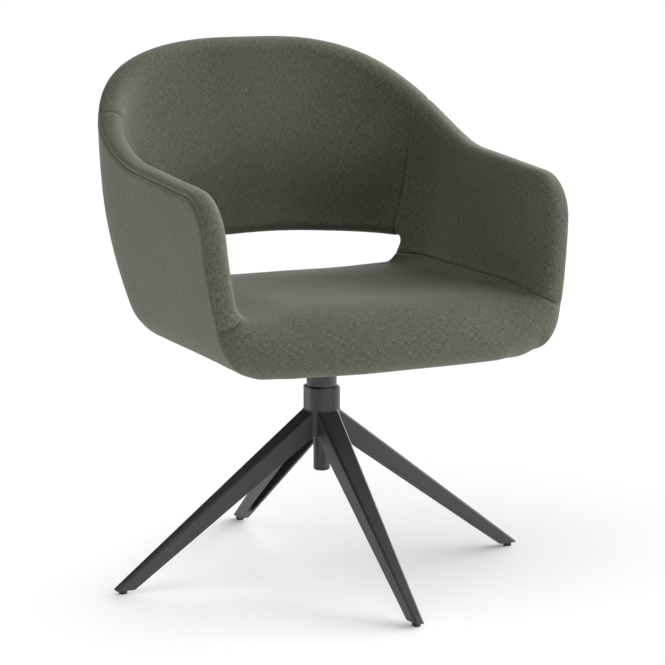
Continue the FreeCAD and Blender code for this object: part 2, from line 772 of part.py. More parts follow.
def panel_section(station, top):
    """Outer panel from its top seam down round the lower edge."""
    outside = station.corner_arc(0)
    inside = station.corner_arc(panel)
    lip_low = station.under(shell_bottom, station.lip_depth())
    lip_high = station.under(shell_bottom + panel, station.lip_depth())
    return [
        *wall_curve(station, top, corner_top, 0),
        arc(*outside),
        line(outside[2], lip_low),
        line(lip_low, lip_high),
        line(lip_high, inside[2]),
        arc(*reversed(inside)),
        *wall_from_edge(station, top, panel),
        line(station.point(top, panel), station.point(top, 0))]


# Cuts along the right arm and round the back
seam_place = arm_front + seam_inset
front_cut = ArmStation(seam_place)
lower_half = front_cut.outside(corner_top) - front_cut.lip_depth()
seat_lower = float(d.seat_front_lower)
seat_front = arm_front - float(d.seat_lead)
seat_step = seat_front + seat_lower + float(d.seat_tuck)
corner_end = arm_front + front_corner
straight = back_centre - corner_end
STRAIGHT_SIDE = 90  # degrees from straight behind, where an arm meets the rounded back
side_seam = float(d.side_seam_angle)
seam_turn = math.degrees(gap / 2 / float(d.rim_half_width))
corner_shares = (0, 0.06, 0.22, 0.52, 1)
corner_cuts = [ArmStation(seam_place + share * (corner_end - seam_place)) for share in corner_shares]
arm_cuts = [ArmStation(corner_end + share * straight) for share in (0, 0.25, 0.5, 0.75, 1)]
arm_cuts += [BackStation(angle) for angle in ((STRAIGHT_SIDE + side_seam) / 2, side_seam + seam_turn)]
back_shares = (-1, -0.8, -0.6, -0.3, 0, 0.3, 0.6, 0.8, 1)
back_cuts = [BackStation(share * (side_seam - seam_turn)) for share in back_shares]


# Arm padding: rolled edge, inner padding and the rounded front
def front_section(ahead):
    """Cut through the solid front edge of an arm, this far behind its foremost line."""
    station = ArmStation(arm_front + ahead)
    short = max(0.0, 1 - ahead / roll_rise)
    inset = edge_round * (1 - math.sqrt(1 - short ** 2))
    over = roll_points(station, station.rim(), inset, 1)
    seam = station.rim() - front_cut.rim() + front_cut.seam()
    strip = station.point(seam, inset)
    fall = over[4].z - arm_pad_bottom
    levels = [over[4].z - step / 4 * fall for step in range(5)]
    inner = [station.point(level, wall - inset) for level in levels[:3]]
    inner.append(station.point(levels[3], wall - inset / 2))
    inner.append(station.point(levels[4], wall))
    lower = station.corner_arc(inset)
    foot = station.under(shell_bottom + inset, station.lip_depth())
    return [
        *wall_from_edge(station, seam, inset),
        line(strip, over[0]),
        *two_arcs(over),
        *two_arcs(inner),
        line(inner[4], foot),
        line(foot, lower[2]),
        arc(*reversed(lower))]


def cheek_section(angle):
    """Closed end of the arm padding beside the opening."""
    station = BackStation(angle)
    low = opening_bottom - edge_round
    high = opening_top + edge_round
    outer = panel + gap
    inner = inner_face + panel / 2
    return [
        *wall_curve(station, low, high, outer),
        line(station.point(high, outer), station.point(high, inner)),
        *wall_curve(station, high, low, inner),
        line(station.point(low, inner), station.point(low, outer))]


def lower_front_cutter():
    """Takes the sharp lower corner off the front of an arm."""
    station = ArmStation(arm_front)
    size = float(d.front_lower_corner)
    corner = station.along(shell_bottom)
    eased = size * (1 - math.sin(math.pi / 4))
    upper = Vec(0, station.along(shell_bottom + size), shell_bottom + size)
    rear = Vec(0, corner + size, shell_bottom)
    below = [Vec(0, y, shell_bottom - size) for y in (corner + size, corner - size)]
    ahead = Vec(0, corner - size, shell_bottom + size)
    profile = [arc(upper, Vec(0, corner + eased, shell_bottom + eased), rear)]
    corners = [rear] + below + [ahead, upper]
    profile += [line(start, end) for start, end in zip(corners, corners[1:])]
    return Part.Face(Part.Wire(profile)).extrude(Vec(2 * float(d.rim_half_width), 0, 0))


def rolled_along(stations):
    return lofted([rolled_section(station, station.rim(), station.seam(), arm_pad_bottom)
                   for station in stations])


def arm_padding():
    front = lofted([front_section(share * seam_inset) for share in (0.04, 0.18, 0.42, 0.72, 1)])
    cheek_end = side_seam + seam_turn
    cheek = lofted([cheek_section(cheek_end + share * float(d.cheek_angle)) for share in (0, 0.5, 1)])
    padding = rolled_along(arm_cuts).fuse([rolled_along(corner_cuts), front, cheek])
    return padding.removeSplitter().cut(lower_front_cutter())


MIDDLE = Vec(0, 0, 0)
ACROSS = Vec(1, 0, 0)
right_arm = arm_padding()
plain_feature("arm_pad_right", right_arm)
plain_feature("arm_pad_left", right_arm.mirror(MIDDLE, ACROSS))

# Back padding above the opening and rolled edge below it
plain_feature("back_pad", lofted([back_section(station) for station in back_cuts]))
lower_seam = opening_bottom - seam_inset
plain_feature("rear_roll", lofted([rolled_section(station, opening_bottom, lower_seam, pad_bottom)
                                   for station in back_cuts]))


# Outer panels: sides, back above the opening, back below it
def side_panel():
    front_cuts = [ArmStation(seam_place + 2 * gap)] + corner_cuts[1:]
    halves = [lofted([panel_section(station, station.seam() - 3 * gap) for station in cuts])
              for cuts in (front_cuts, arm_cuts)]
    return halves[0].fuse(halves[1]).removeSplitter().cut(lower_front_cutter())


right_panel = side_panel()
plain_feature("outer_panel_right", right_panel)
plain_feature("outer_panel_left", right_panel.mirror(MIDDLE, ACROSS))


def upper_panel_section(station):
    top = station.seam() - gap
    bottom = opening_edge(station) + seam_inset + gap
    return [
        *wall_curve(station, top, bottom, 0),
        line(station.point(bottom, 0), station.point(bottom, panel)),
        *wall_curve(station, bottom, top, panel),
        line(station.point(top, panel), station.point(top, 0))]


plain_feature("outer_back_panel", lofted([upper_panel_section(station) for station in back_cuts]))
plain_feature("lower_back_panel", lofted([panel_section(station, lower_seam - gap)
                                          for station in back_cuts]))


# Seat board and underside cover inside the lower lips of the panels
PLAN_ANGLES = (90, 80, 70, 55, 40, 20, 0)


def plan_wire(right, front_half, front):
    """Outline with a straight front and sides, and the rear rounded with the shell."""
    rear, edges = rounded_rear(right)
    level = right[0].z
    corners = [Vec(-front_half, front, level), Vec(front_half, front, level)]
    edges += [line(rear[-1], corners[0]), line(corners[0], corners[1]), line(corners[1], rear[0])]
    return Part.Wire(edges)


def board_outline(level):
    clear = float(d.board_gap)
    cuts = [BackStation(angle) for angle in PLAN_ANGLES]
    right = [station.under(level, station.lip_depth() + clear) for station in cuts]
    return Part.Face(plan_wire(right, lower_half - clear, seat_step + clear))


def drilled(shape, bottom, top, radius, places):
    return shape.cut([cylinder(radius, bottom, top, place) for place in places])


# Seat cushion between the arms, rolled over the front edge
seat_clear = wall + gap
lip_top = shell_bottom + panel
seat_low_half = lower_half - gap
seat_top_limit = seat_edge_level + 2 * float(d.seat_crown)
seat_high_half = front_cut.outside(seat_edge_level) - seat_clear
seat_side_slope = (seat_high_half - seat_low_half) / (seat_top_limit - lip_top)
seat_widening = float(d.arm_taper) / arm_length
seat_front_limit = seat_front - 2 * float(d.seat_bow)
seat_rear_limit = back_centre + back_reach(seat_top_limit)


def seat_half(along, level):
    return seat_low_half + seat_side_slope * (level - lip_top) + seat_widening * (along - seam_place)


def seat_plan(level):
    """Outline of the cushion between arms and back at a height."""
    across = seat_half(back_centre, level)
    back = back_reach(level) - seat_clear
    right = []
    for turn in (math.radians(angle) for angle in PLAN_ANGLES):
        reach = plan_reach(turn, across, back)
        right.append(Vec(reach * math.sin(turn), back_centre + reach * math.cos(turn), level))
    return plan_wire(right, seat_half(seat_front_limit, level), seat_front_limit)


def seat_profile(share):
    """Lengthwise cut through the cushion: share 0 in the middle, 1 beside an arm."""
    crown = 1 - share ** 2
    across = share * seat_half(back_centre, seat_top_limit)

    def at(along, level):
        return Vec(across, along, level)

    top = seat_edge_level + float(d.seat_crown) * crown
    rear_top = seat_edge_level - float(d.seat_fall) * crown
    tip = seat_front - float(d.seat_bow) * crown
    tip_level = shell_bottom + seat_lower
    upper = float(d.seat_front_upper)
    front_top = tip + upper
    rise = top - tip_level
    middle_top = (top + rear_top) / 2 + float(d.seat_crown)
    half_turn = math.sin(math.pi / 4)
    eased = seat_lower * half_turn
    return [
        arc(at(seat_rear_limit, rear_top), at((seat_rear_limit + front_top) / 2, middle_top),
            at(front_top, top)),
        arc(at(front_top, top), at(front_top - upper * half_turn, tip_level + rise * half_turn),
            at(tip, tip_level)),
        arc(at(tip, tip_level), at(tip + seat_lower - eased, tip_level - eased),
            at(tip + seat_lower, shell_bottom)),
        line(at(tip + seat_lower, shell_bottom), at(seat_step, shell_bottom)),
        line(at(seat_step, shell_bottom), at(seat_step, pad_bottom)),
        line(at(seat_step, pad_bottom), at(seat_rear_limit, pad_bottom)),
        line(at(seat_rear_limit, pad_bottom), at(seat_rear_limit, rear_top))]


seat_block = lofted([seat_profile(share) for share in (-1, -0.5, 0, 0.5, 1)])
seat_between = Part.makeLoft([seat_plan(level) for level in (shell_bottom, seat_top_limit)], True, True)
plain_feature("seat_pad", seat_block.common(seat_between))


# Steel frame in the gap between padding and outer panels
def bent_rod(points, radius):
    """A rod along straight runs with tangent bends."""
    edges = []
    last = points[0]
    for before, point, after in zip(points, points[1:], points[2:]):
        way_in = (point - before).normalize()
        way_out = (after - point).normalize()
        turn = way_in.getAngle(way_out)
        trim = 0.45 * min((point - before).Length, (after - point).Length)
        bend = trim / math.tan(turn / 2)
        start = point - way_in * trim
        end = point + way_out * trim
        inward = (way_out - way_in).normalize()
        centre = point + inward * (bend / math.cos(turn / 2))
        edges += [line(last, start), arc(start, centre - inward * bend, end)]
        last = end
    edges.append(line(last, points[-1]))
    circle = Part.makeCircle(radius, points[0], points[1] - points[0])
    return Part.Wire(edges).makePipeShell([Part.Wire(circle)], True, False)


def mirrored_points(points):
    return [Vec(-point.x, point.y, point.z) for point in reversed(points)]


rod_radius = float(d.rod_radius)
rod_depth = (panel + inner_face) / 2
rod_drop = float(d.rod_drop)
rod_inset = panel + rod_radius + 2 * gap
rod_turn = corner_top + float(d.rod_lift)
hoop_front = ArmStation(arm_front + float(d.hoop_setback))
upright_cut = BackStation(float(d.upright_angle))


def rod_foot(station):
    """The lower bend of a rod, which follows the lower edge of the shell to its tab."""
    levels = (tab_top, (tab_top + rod_turn) / 2)
    return [station.corner_at(level, rod_inset) for level in levels]


def hoop_path():
    """From the right front foot up, along the arm and round to the middle of the back."""
    bend = float(d.hoop_bend)
    bend_place = hoop_front.place + bend
    bend_level = ArmStation(bend_place).seam() - rod_drop - bend
    lowest = rod_turn + edge_round
    points = rod_foot(hoop_front)
    rise = bend_level - lowest
    points += [hoop_front.point(lowest + share * rise, rod_depth) for share in (0, 0.4, 0.75)]
    for turn in (math.radians(angle) for angle in (15, 45, 75)):
        station = ArmStation(bend_place - bend * math.cos(turn))
        points.append(station.point(bend_level + bend * math.sin(turn), rod_depth))
    run = back_centre - bend_place
    places = [ArmStation(bend_place + share * run) for share in (0.2, 0.4, 0.6, 0.8, 1)]
    places += [BackStation(angle) for angle in (81, 72, 64, 57, 50, 43, 35, 23, 10)]
    points += [station.point(station.seam() - rod_drop, rod_depth) for station in places]
    return points


right_hoop = hoop_path()
plain_feature("rim_hoop", bent_rod(right_hoop + mirrored_points(right_hoop), rod_radius))


def upright_rod():
    top = upright_cut.seam() - rod_drop - rod_radius * 2
    lowest = rod_turn + edge_round
    shares = (0, 0.25, 0.5, 0.75, 1)
    wall_points = [upright_cut.point(lowest + share * (top - lowest), rod_depth) for share in shares]
    return bent_rod(rod_foot(upright_cut) + wall_points, rod_radius)


right_upright = upright_rod()
plain_feature("rear_upright_right", right_upright)
plain_feature("rear_upright_left", right_upright.mirror(MIDDLE, ACROSS))


def cross_rod_path():
    """Round the back above the opening, ending against the uprights."""
    level = opening_top + float(d.cross_rod_rise)
    upright = upright_cut.point(level, rod_depth)
    reach = (upright - Vec(0, back_centre, level)).Length
    end = float(d.upright_angle) - math.degrees((rod_radius + gap) / reach)
    shares = (1, 0.9, 0.8, 0.7, 0.6, 0.48, 0.34, 0.15)
    return [BackStation(end * share).point(level, rod_depth) for share in shares]


right_cross = cross_rod_path()
plain_feature("back_cross_rod", bent_rod(right_cross + mirrored_points(right_cross), rod_radius))


# Tabs that carry the frame on the board, and their screws
def tab_places():
    right = [rod_foot(hoop_front)[0], rod_foot(upright_cut)[0]]
    return right + mirrored_points(right)


def inward(place):
    return -1 if place.x > 0 else 1


def frame_tab(place):
    length = float(d.tab_length)
    width = float(d.tab_width)
    tab = Part.makeBox(length, width, float(d.tab_thickness))
    tab.translate(Vec(min(place.x, place.x + inward(place) * length), place.y - width / 2, float(board_top)))
    return tab.cut(cylinder(d.screw_radius, board_top, tab_top, screw_place(place)))


def screw_place(place):
    reach = float(d.tab_length) - float(d.tab_width) / 2
    return Vec(place.x + inward(place) * reach, place.y, 0)


def tab_screw(place):
    shank = cylinder(d.screw_radius, board_top - d.screw_bite, tab_top, screw_place(place))
    head = cylinder(d.screw_head_radius, tab_top, tab_top + float(d.screw_head_height), screw_place(place))
    return head.fuse(shank).removeSplitter()


screw_places = [screw_place(place) for place in tab_places()]
plain_feature("frame_tabs", Part.makeCompound([frame_tab(place) for place in tab_places()]))
plain_feature("tab_screws", Part.makeCompound([tab_screw(place) for place in tab_places()]))

board = board_outline(float(cover_top)).extrude(UPRIGHT * float(d.board_thickness))
board = drilled(board, cover_top, board_top, d.tee_nut_radius, bolt_places())
plain_feature("seat_board", drilled(board, board_top - d.screw_bite, board_top, d.screw_radius,
                                    screw_places))
cover = board_outline(shell_bottom).extrude(UPRIGHT * float(d.cover_thickness))
plain_feature("underside_cover", drilled(cover, plate_top, cover_top, d.bolt_radius, bolt_places()))

# Check every object, then write each sub-part
doc.recompute()
for item in doc.Objects:
    if "Invalid" in item.State or "Error" in item.State:
        raise RuntimeError(f"{item.Label} failed: {item.State}")
for item in nodes:
    if item.Shape.isNull() or not item.Shape.isValid():
        raise RuntimeError(f"{item.Label} has no valid shape")
    if item.Shape.Volume <= 0:
        raise RuntimeError(f"{item.Label} encloses nothing")
os.makedirs("parts", exist_ok=True)
for item in nodes:
    item.Shape.exportStep(f"parts/{item.Label}.step")
print(f"{len(nodes)} sub-parts written")
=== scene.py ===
# Guest chair: an upholstered tub shell that swivels on a four-leg cast base.
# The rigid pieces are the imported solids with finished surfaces; every upholstered piece is made here.
# Frame: origin on the floor under the swivel axis, +Z up, the sitter faces -Y. Metres.
import math

import bmesh
import bpy
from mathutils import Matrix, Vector, noise


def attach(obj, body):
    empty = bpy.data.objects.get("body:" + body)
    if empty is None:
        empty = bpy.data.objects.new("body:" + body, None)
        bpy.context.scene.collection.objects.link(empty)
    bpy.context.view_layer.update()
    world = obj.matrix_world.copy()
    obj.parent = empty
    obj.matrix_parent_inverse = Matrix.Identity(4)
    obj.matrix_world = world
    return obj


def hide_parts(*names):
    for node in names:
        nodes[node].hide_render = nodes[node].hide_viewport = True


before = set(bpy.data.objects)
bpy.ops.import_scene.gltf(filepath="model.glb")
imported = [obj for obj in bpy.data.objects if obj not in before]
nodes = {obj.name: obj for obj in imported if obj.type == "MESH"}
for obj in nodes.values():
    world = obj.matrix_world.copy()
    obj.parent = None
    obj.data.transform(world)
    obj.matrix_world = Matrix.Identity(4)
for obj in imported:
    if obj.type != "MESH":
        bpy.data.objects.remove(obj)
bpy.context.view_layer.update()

# Glides
# Four small hard plastic pads that keep the legs off the floor.
# Injection moulded with a fine matt grain, each pressed into its leg tip by a stem.
NOISE_LOW = 0.3
NOISE_HIGH = 0.7


def shader(name):
    """A new material with its node tree and main shader."""
    material = bpy.data.materials.new(name)
    material.use_nodes = True
    tree = material.node_tree
    return material, tree, tree.nodes["Principled BSDF"]


def object_space(tree):
    """Coordinates that stay with the piece, in metres."""
    return tree.nodes.new("ShaderNodeTexCoord").outputs["Object"]


def mottle(tree, coordinates, scale, detail=2.0, stretch=(1.0, 1.0, 1.0)):
    """Noise over the surface, at scale features per metre, drawn out along an axis by a low stretch."""
    mapping = tree.nodes.new("ShaderNodeMapping")
    mapping.inputs["Scale"].default_value = stretch
    texture = tree.nodes.new("ShaderNodeTexNoise")
    texture.inputs["Scale"].default_value = scale
    texture.inputs["Detail"].default_value = detail
    tree.links.new(coordinates, mapping.inputs["Vector"])
    tree.links.new(mapping.outputs["Vector"], texture.inputs["Vector"])
    return texture.outputs["Fac"]


def map_range(tree, value, start, end, low, high):
    """A value that goes from start to end, made to go from low to high."""
    node = tree.nodes.new("ShaderNodeMapRange")
    for name, limit in (("From Min", start), ("From Max", end), ("To Min", low), ("To Max", high)):
        node.inputs[name].default_value = limit
    tree.links.new(value, node.inputs["Value"])
    return node.outputs["Result"]


def spread(tree, value, low, high):
    """The middle of a noise value drawn out to run from low to high."""
    return map_range(tree, value, NOISE_LOW, NOISE_HIGH, low, high)


def two_tone(tree, value, dark, light):
    """A colour between dark and light."""
    node = tree.nodes.new("ShaderNodeMix")
    node.data_type = "RGBA"
    node.inputs["A"].default_value = (*dark, 1.0)
    node.inputs["B"].default_value = (*light, 1.0)
    tree.links.new(value, node.inputs["Factor"])
    return node.outputs["Result"]


def raised(tree, height, depth, strength, under=None):
    """A bump from a height value, depth in metres."""
    node = tree.nodes.new("ShaderNodeBump")
    node.inputs["Distance"].default_value = depth
    node.inputs["Strength"].default_value = strength
    tree.links.new(height, node.inputs["Height"])
    if under is not None:
        tree.links.new(under, node.inputs["Normal"])
    return node.outputs["Normal"]


def connect(tree, surface, colour, roughness, normal):
    """Joins colour, roughness and bump to the main shader."""
    tree.links.new(colour, surface.inputs["Base Color"])
    tree.links.new(roughness, surface.inputs["Roughness"])
    tree.links.new(normal, surface.inputs["Normal"])


def moulded(name, dark, light, roughness, grain):
    """Moulded plastic: even colour, a fine grain, slightly uneven gloss."""
    material, tree, surface = shader(name)
    space = object_space(tree)
    cloudy = mottle(tree, space, 70.0)
    fine = mottle(tree, space, grain, 3.0)
    tone = two_tone(tree, spread(tree, cloudy, 0.0, 1.0), dark, light)
    gloss = spread(tree, fine, roughness - 0.06, roughness + 0.06)
    connect(tree, surface, tone, gloss, raised(tree, fine, 0.0002, 0.35))
    return material


def finish(material, *names):
    """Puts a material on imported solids, whose shape stays as it is."""
    for name in names:
        mesh = nodes[name].data
        mesh.materials.clear()
        mesh.materials.append(material)


glide_plastic = moulded("glide_plastic", (0.006, 0.006, 0.006), (0.014, 0.014, 0.014), 0.5, 2400.0)
finish(glide_plastic, "glide_right", "glide_rear", "glide_left", "glide_front")

# Base
# Hub and four tapering legs in one aluminium casting, hollow underneath.
# Powder coated in satin black with a fine pebbled skin, and a painted highlight that gives the sharp
# edges a lighter colour.
# Pointiness range, share and brightness of the painted highlight on the edges.
EDGE_START = 0.52
EDGE_FULL = 0.62
EDGE_HIGHLIGHT_MIX = 0.5
EDGE_HIGHLIGHT_LIFT = 2.2


def laid_over(tree, value, under, colour, blend="MIX"):
    """One even colour laid over another colour as far as a value says."""
    node = tree.nodes.new("ShaderNodeMix")
    node.data_type = "RGBA"
    node.blend_type = blend
    node.inputs["B"].default_value = (*colour, 1.0)
    tree.links.new(value, node.inputs["Factor"])
    tree.links.new(under, node.inputs["A"])
    return node.outputs["Result"]


def powder_coat(name, dark, light, roughness, grain=1500.0):
    """Paint sprayed on as powder and baked: a cloudy tone, a pebbled skin, and a painted highlight that
    makes the edges paler.
    """
    material, tree, surface = shader(name)
    space = object_space(tree)
    cloudy = mottle(tree, space, 22.0, 3.0)
    pebbles = mottle(tree, space, grain)
    tone = two_tone(tree, spread(tree, cloudy, 0.0, 1.0), dark, light)
    pointed = tree.nodes.new("ShaderNodeNewGeometry").outputs["Pointiness"]
    # Painted highlight: where the surface is sharply convex, a colour 2.2 times the light tone is mixed
    # in, up to half.
    edge = map_range(tree, pointed, EDGE_START, EDGE_FULL, 0.0, EDGE_HIGHLIGHT_MIX)
    edge_highlighted = laid_over(tree, edge, tone, [EDGE_HIGHLIGHT_LIFT * channel for channel in light])
    gloss = spread(tree, pebbles, roughness - 0.08, roughness + 0.08)
    connect(tree, surface, edge_highlighted, gloss, raised(tree, pebbles, 0.0003, 0.22))
    return material


base_coat = powder_coat("base_coat", (0.022, 0.022, 0.023), (0.032, 0.032, 0.033), 0.46)
finish(base_coat, "base_casting")

# Column
# A steel tube pressed through the hub, closed at its lower end by a moulded cap.
# Painted black before assembly, a little smoother than the casting.
column_coat = powder_coat("column_coat", (0.014, 0.014, 0.015), (0.022, 0.022, 0.023), 0.38, 1900.0)
finish(column_coat, "column_sleeve")
cap_plastic = moulded("cap_plastic", (0.008, 0.008, 0.008), (0.016, 0.016, 0.016), 0.44, 2000.0)
finish(cap_plastic, "sleeve_cap")

# Bearing
# Two plain bushes of pale acetal in the tube, with the thrust washer that carries the seat.
# Pressed in, not glued; the washer lies loose on the upper flange.
bearing_plastic = moulded("bearing_plastic", (0.42, 0.40, 0.35), (0.52, 0.50, 0.45), 0.35, 1600.0)
finish(bearing_plastic, "upper_bush", "lower_bush", "thrust_washer")


# Spindle and its retaining parts
# A turned steel spindle, held down by a washer and a spring ring in its groove.
# Bare bright steel with fine rings left by the lathe.
def turned_steel(name, dark, light, roughness, drawn):
    """Bare or plated metal with fine marks, drawn out across the given directions."""
    material, tree, surface = shader(name)
    surface.inputs["Metallic"].default_value = 1.0
    marks = mottle(tree, object_space(tree), 900.0, 4.0, drawn)
    tone = two_tone(tree, spread(tree, marks, 0.0, 1.0), dark, light)
    gloss = spread(tree, marks, roughness - 0.09, roughness + 0.09)
    connect(tree, surface, tone, gloss, raised(tree, marks, 0.0002, 0.12))
    return material


LATHE_RINGS = (0.06, 0.06, 1.0)
bright_steel = turned_steel("bright_steel", (0.50, 0.50, 0.49), (0.62, 0.62, 0.61), 0.28, LATHE_RINGS)
finish(bright_steel, "spindle", "retaining_washer", "retaining_ring")

# Swivel collar and seat plate
# The collar hides the spindle between hub and seat; the plate carries the seat on four bolts.
# Steel, welded together with the spindle and painted black.
finish(column_coat, "swivel_collar", "seat_plate")

# Bolts, washers, tee nuts and screws
# Machine bolts through the plate into tee nuts in the board, and wood screws through the frame's tabs.
# Zinc plated steel, slightly cloudy.
EVEN_CLOUDS = (1.0, 1.0, 1.0)
zinc = turned_steel("fastener_steel", (0.40, 0.41, 0.42), (0.56, 0.57, 0.58), 0.36, EVEN_CLOUDS)
finish(zinc, "mounting_bolts", "bolt_washers", "tee_nuts", "tab_screws")


# Seat board and underside cover
# A birch plywood board carries the cushion; a black non-woven cloth closes the shell from below.
# The cloth is stapled to the board round its edge.
def combined(tree, operation, first, second=None):
    """The result of a sum on one value, on two values, or on a value and a plain number."""
    node = tree.nodes.new("ShaderNodeMath")
    node.operation = operation
    tree.links.new(first, node.inputs[0])
    if isinstance(second, float):
        node.inputs[1].default_value = second
    elif second is not None:
        tree.links.new(second, node.inputs[1])
    return node.outputs["Value"]


def birch_plywood():
    """Birch veneers: long pale grain on the faces, dark and light layers on the edges."""
    material, tree, surface = shader("plywood")
    space = object_space(tree)
    veneer = mottle(tree, space, 60.0, 5.0, (0.12, 1.0, 6.0))
    layers = mottle(tree, space, 330.0, 0.0, (0.01, 0.01, 1.0))
    grain = spread(tree, combined(tree, "MULTIPLY", veneer, layers), -0.6, 1.3)
    tone = two_tone(tree, grain, (0.30, 0.19, 0.10), (0.62, 0.47, 0.30))
    connect(tree, surface, tone, spread(tree, veneer, 0.55, 0.7), raised(tree, veneer, 0.0003, 0.3))
    return material


finish(birch_plywood(), "seat_board")
cover_cloth = moulded("cover_cloth", (0.008, 0.008, 0.009), (0.022, 0.022, 0.023), 0.85, 1100.0)
finish(cover_cloth, "underside_cover")

# Steel frame
# Bent steel rod inside arms and back, welded to tabs that are screwed to the board.
# Black oxide finish, hidden by the upholstery.
frame_steel = powder_coat("frame_steel", (0.020, 0.020, 0.021), (0.034, 0.033, 0.032), 0.5, 1200.0)
finish(frame_steel, "rim_hoop", "rear_upright_right", "rear_upright_left", "back_cross_rod", "frame_tabs")

# Outer side panels
# Padded panels of the cover cloth over each side, from the rolled edge down and under the shell.
# Sewn to the rolled edge, with a row of top stitching beside the seam, and stapled underneath.

# Plan and lean of the wall.
WALL = 0.036
RIM_HALF_WIDTH = 0.295
SIDE_FULL_LEVEL = 0.625
SIDE_CURVE = 0.266
SIDE_TUCK = 0.0505
BACK_CENTRE = 0.092
BACK_DEPTH = 0.2305
BACK_RAKE = 0.136
BACK_FULL_LEVEL = 0.802
BACK_CURVE = 0.443
BACK_SQUARENESS = 2.92
PLACE_PER_DEGREE = 0.0052
BACK_MIDDLE = BACK_CENTRE + 90 * PLACE_PER_DEGREE
# Arm fronts and the rim that climbs from the arms to the back.
ARM_FRONT = -0.248
ARM_TOP = 0.623
ARM_SLOPE = 0.06
ARM_TAPER = 0.005
FRONT_LEAN = 0.10
FRONT_FULLNESS = 0.26
FRONT_CORNER = 0.062
FRONT_LOWER_CORNER = 0.020
CORNER_LEVEL = ARM_TOP - FRONT_CORNER
CLIMB_START = 0.014
CLIMB_RADIUS = 0.294
# Lower edge, where the cloth turns in under the shell.
SHELL_BOTTOM = 0.359
LOWER_EDGE = 0.410
LOWER_EDGE_RISE = 0.009
BACK_DROP = 0.0025
BACK_DROP_RUN = 0.04
LIP = 0.004
# Seams and the opening.
SEAM_INSET = 0.011
SEAM_DEGREES = 20
SEAM_PLACE = BACK_CENTRE + SEAM_DEGREES * PLACE_PER_DEGREE
SEAM_TURN_RUN = 0.06
OPENING_TOP = 0.494
OPENING_ARCH = 0.0143
OPENING_BOTTOM = 0.434
OPENING_CORNER = 0.009
CHEEK_SETBACK = 0.009
CHEEK_PLACE = SEAM_PLACE + CHEEK_SETBACK
SEAM_FOOT = CHEEK_PLACE + OPENING_CORNER
# Half the step over which a slope is measured.
PROBE = 0.001


def half_width(level, fullness=0.0):
    """Half the width of the shell, which draws in towards the seat, less where it is fuller."""
    tuck = SIDE_TUCK * (max(0.0, SIDE_FULL_LEVEL - level) / SIDE_CURVE) ** 2
    return RIM_HALF_WIDTH - tuck * (1 - fullness)


def back_reach(level):
    """How far the back lies behind the middle of its curve, which draws in towards the seat too."""
    return BACK_DEPTH - BACK_RAKE * (max(0.0, BACK_FULL_LEVEL - level) / BACK_CURVE) ** 2


def wall(place, level, depth):
    """A point of the shell's wall. Place runs back along the right arm, round the back and on to
    the left arm, in metres; depth is measured inwards from the outer face."""
    if place <= BACK_CENTRE:
        share = (BACK_CENTRE - place) / (BACK_CENTRE - ARM_FRONT)
        along = place - FRONT_LEAN * share * (CORNER_LEVEL - level)
        side = half_width(level, FRONT_FULLNESS * share ** 2) - ARM_TAPER * share
        return Vector((side - depth, along, level))
    turn = math.radians(90 - (place - BACK_CENTRE) / PLACE_PER_DEGREE)
    across = abs(math.sin(turn)) / (half_width(level) - depth)
    behind = abs(math.cos(turn)) / (back_reach(level) - depth)
    reach = (across ** BACK_SQUARENESS + behind ** BACK_SQUARENESS) ** (-1 / BACK_SQUARENESS)
    return Vector((reach * math.sin(turn), BACK_CENTRE + reach * math.cos(turn), level))


def lower_bend(place):
    """Where the wall starts to bend in under the shell: level, lean of the wall there, radius of bend."""
    forward = max(0.0, BACK_CENTRE - place) / (BACK_CENTRE - ARM_FRONT)
    edge = LOWER_EDGE + LOWER_EDGE_RISE * forward ** 2
    drawn_in = wall(place, edge + PROBE, 0.0) - wall(place, edge - PROBE, 0.0)
    inward = drawn_in.x if place <= BACK_CENTRE else math.hypot(drawn_in.x, drawn_in.y)
    lean = math.atan2(inward, 2 * PROBE)
    bottom = SHELL_BOTTOM - BACK_DROP * min(1.0, max(0.0, place - BACK_CENTRE) / BACK_DROP_RUN)
    return edge, lean, (edge - bottom) / (1 - math.sin(lean))


def lower_wall(place, level, depth):
    """As wall, and on round the bend at the bottom, where the level counts along the cloth."""
    edge, lean, radius = lower_bend(place)
    if level >= edge:
        return wall(place, level, depth)
    turn = lean + (edge - level) / radius
    flat = max(0.0, turn - math.pi / 2) * radius
    turn = min(turn, math.pi / 2)
    sunk = radius * math.cos(lean) - (radius - depth) * math.cos(turn) + flat
    height = edge + radius * math.sin(lean) - (radius - depth) * math.sin(turn)
    point = wall(place, edge, sunk)
    if place <= BACK_CENTRE:
        point.y = wall(place, height, 0.0).y
    point.z = height
    return point


def lip_level(place):
    """The cloth level at which a panel ends under the shell."""
    edge, lean, radius = lower_bend(place)
    return edge - radius * (math.pi / 2 - lean) - LIP


def rim(place):
    """Height of the rolled edge, before the front corner."""
    along = place if place <= BACK_CENTRE else wall(place, BACK_FULL_LEVEL, WALL / 2).y
    climb = max(0.0, along - CLIMB_START) ** 2 / (2 * CLIMB_RADIUS)
    return ARM_TOP + ARM_SLOPE * (along - ARM_FRONT) + climb


def rim_edge(place):
    """A point of the rim as (place, level), and the direction from it into the cloth."""
    slope = (rim(place + PROBE) - rim(place - PROBE)) / (2 * PROBE)
    return Vector((place, rim(place))), Vector((slope, -1.0)).normalized()


def corner_edge(turn):
    """The same on the upper front corner of an arm: turn 0 is its upright end, 90 its top."""
    angle = math.radians(turn)
    place = ARM_FRONT + FRONT_CORNER * (1 - math.cos(angle))
    level = rim(place) - FRONT_CORNER * (1 - math.sin(angle))
    into = Vector((math.cos(angle) + ARM_SLOPE * math.sin(angle), -math.sin(angle)))
    return Vector((place, level)), into.normalized()


def front_place(level):
    """Place of an arm's foremost line, which draws back round the lower corner."""
    below = min(FRONT_LOWER_CORNER, max(0.0, SHELL_BOTTOM + FRONT_LOWER_CORNER - level))
    return ARM_FRONT + FRONT_LOWER_CORNER - math.sqrt(FRONT_LOWER_CORNER ** 2 - below ** 2)


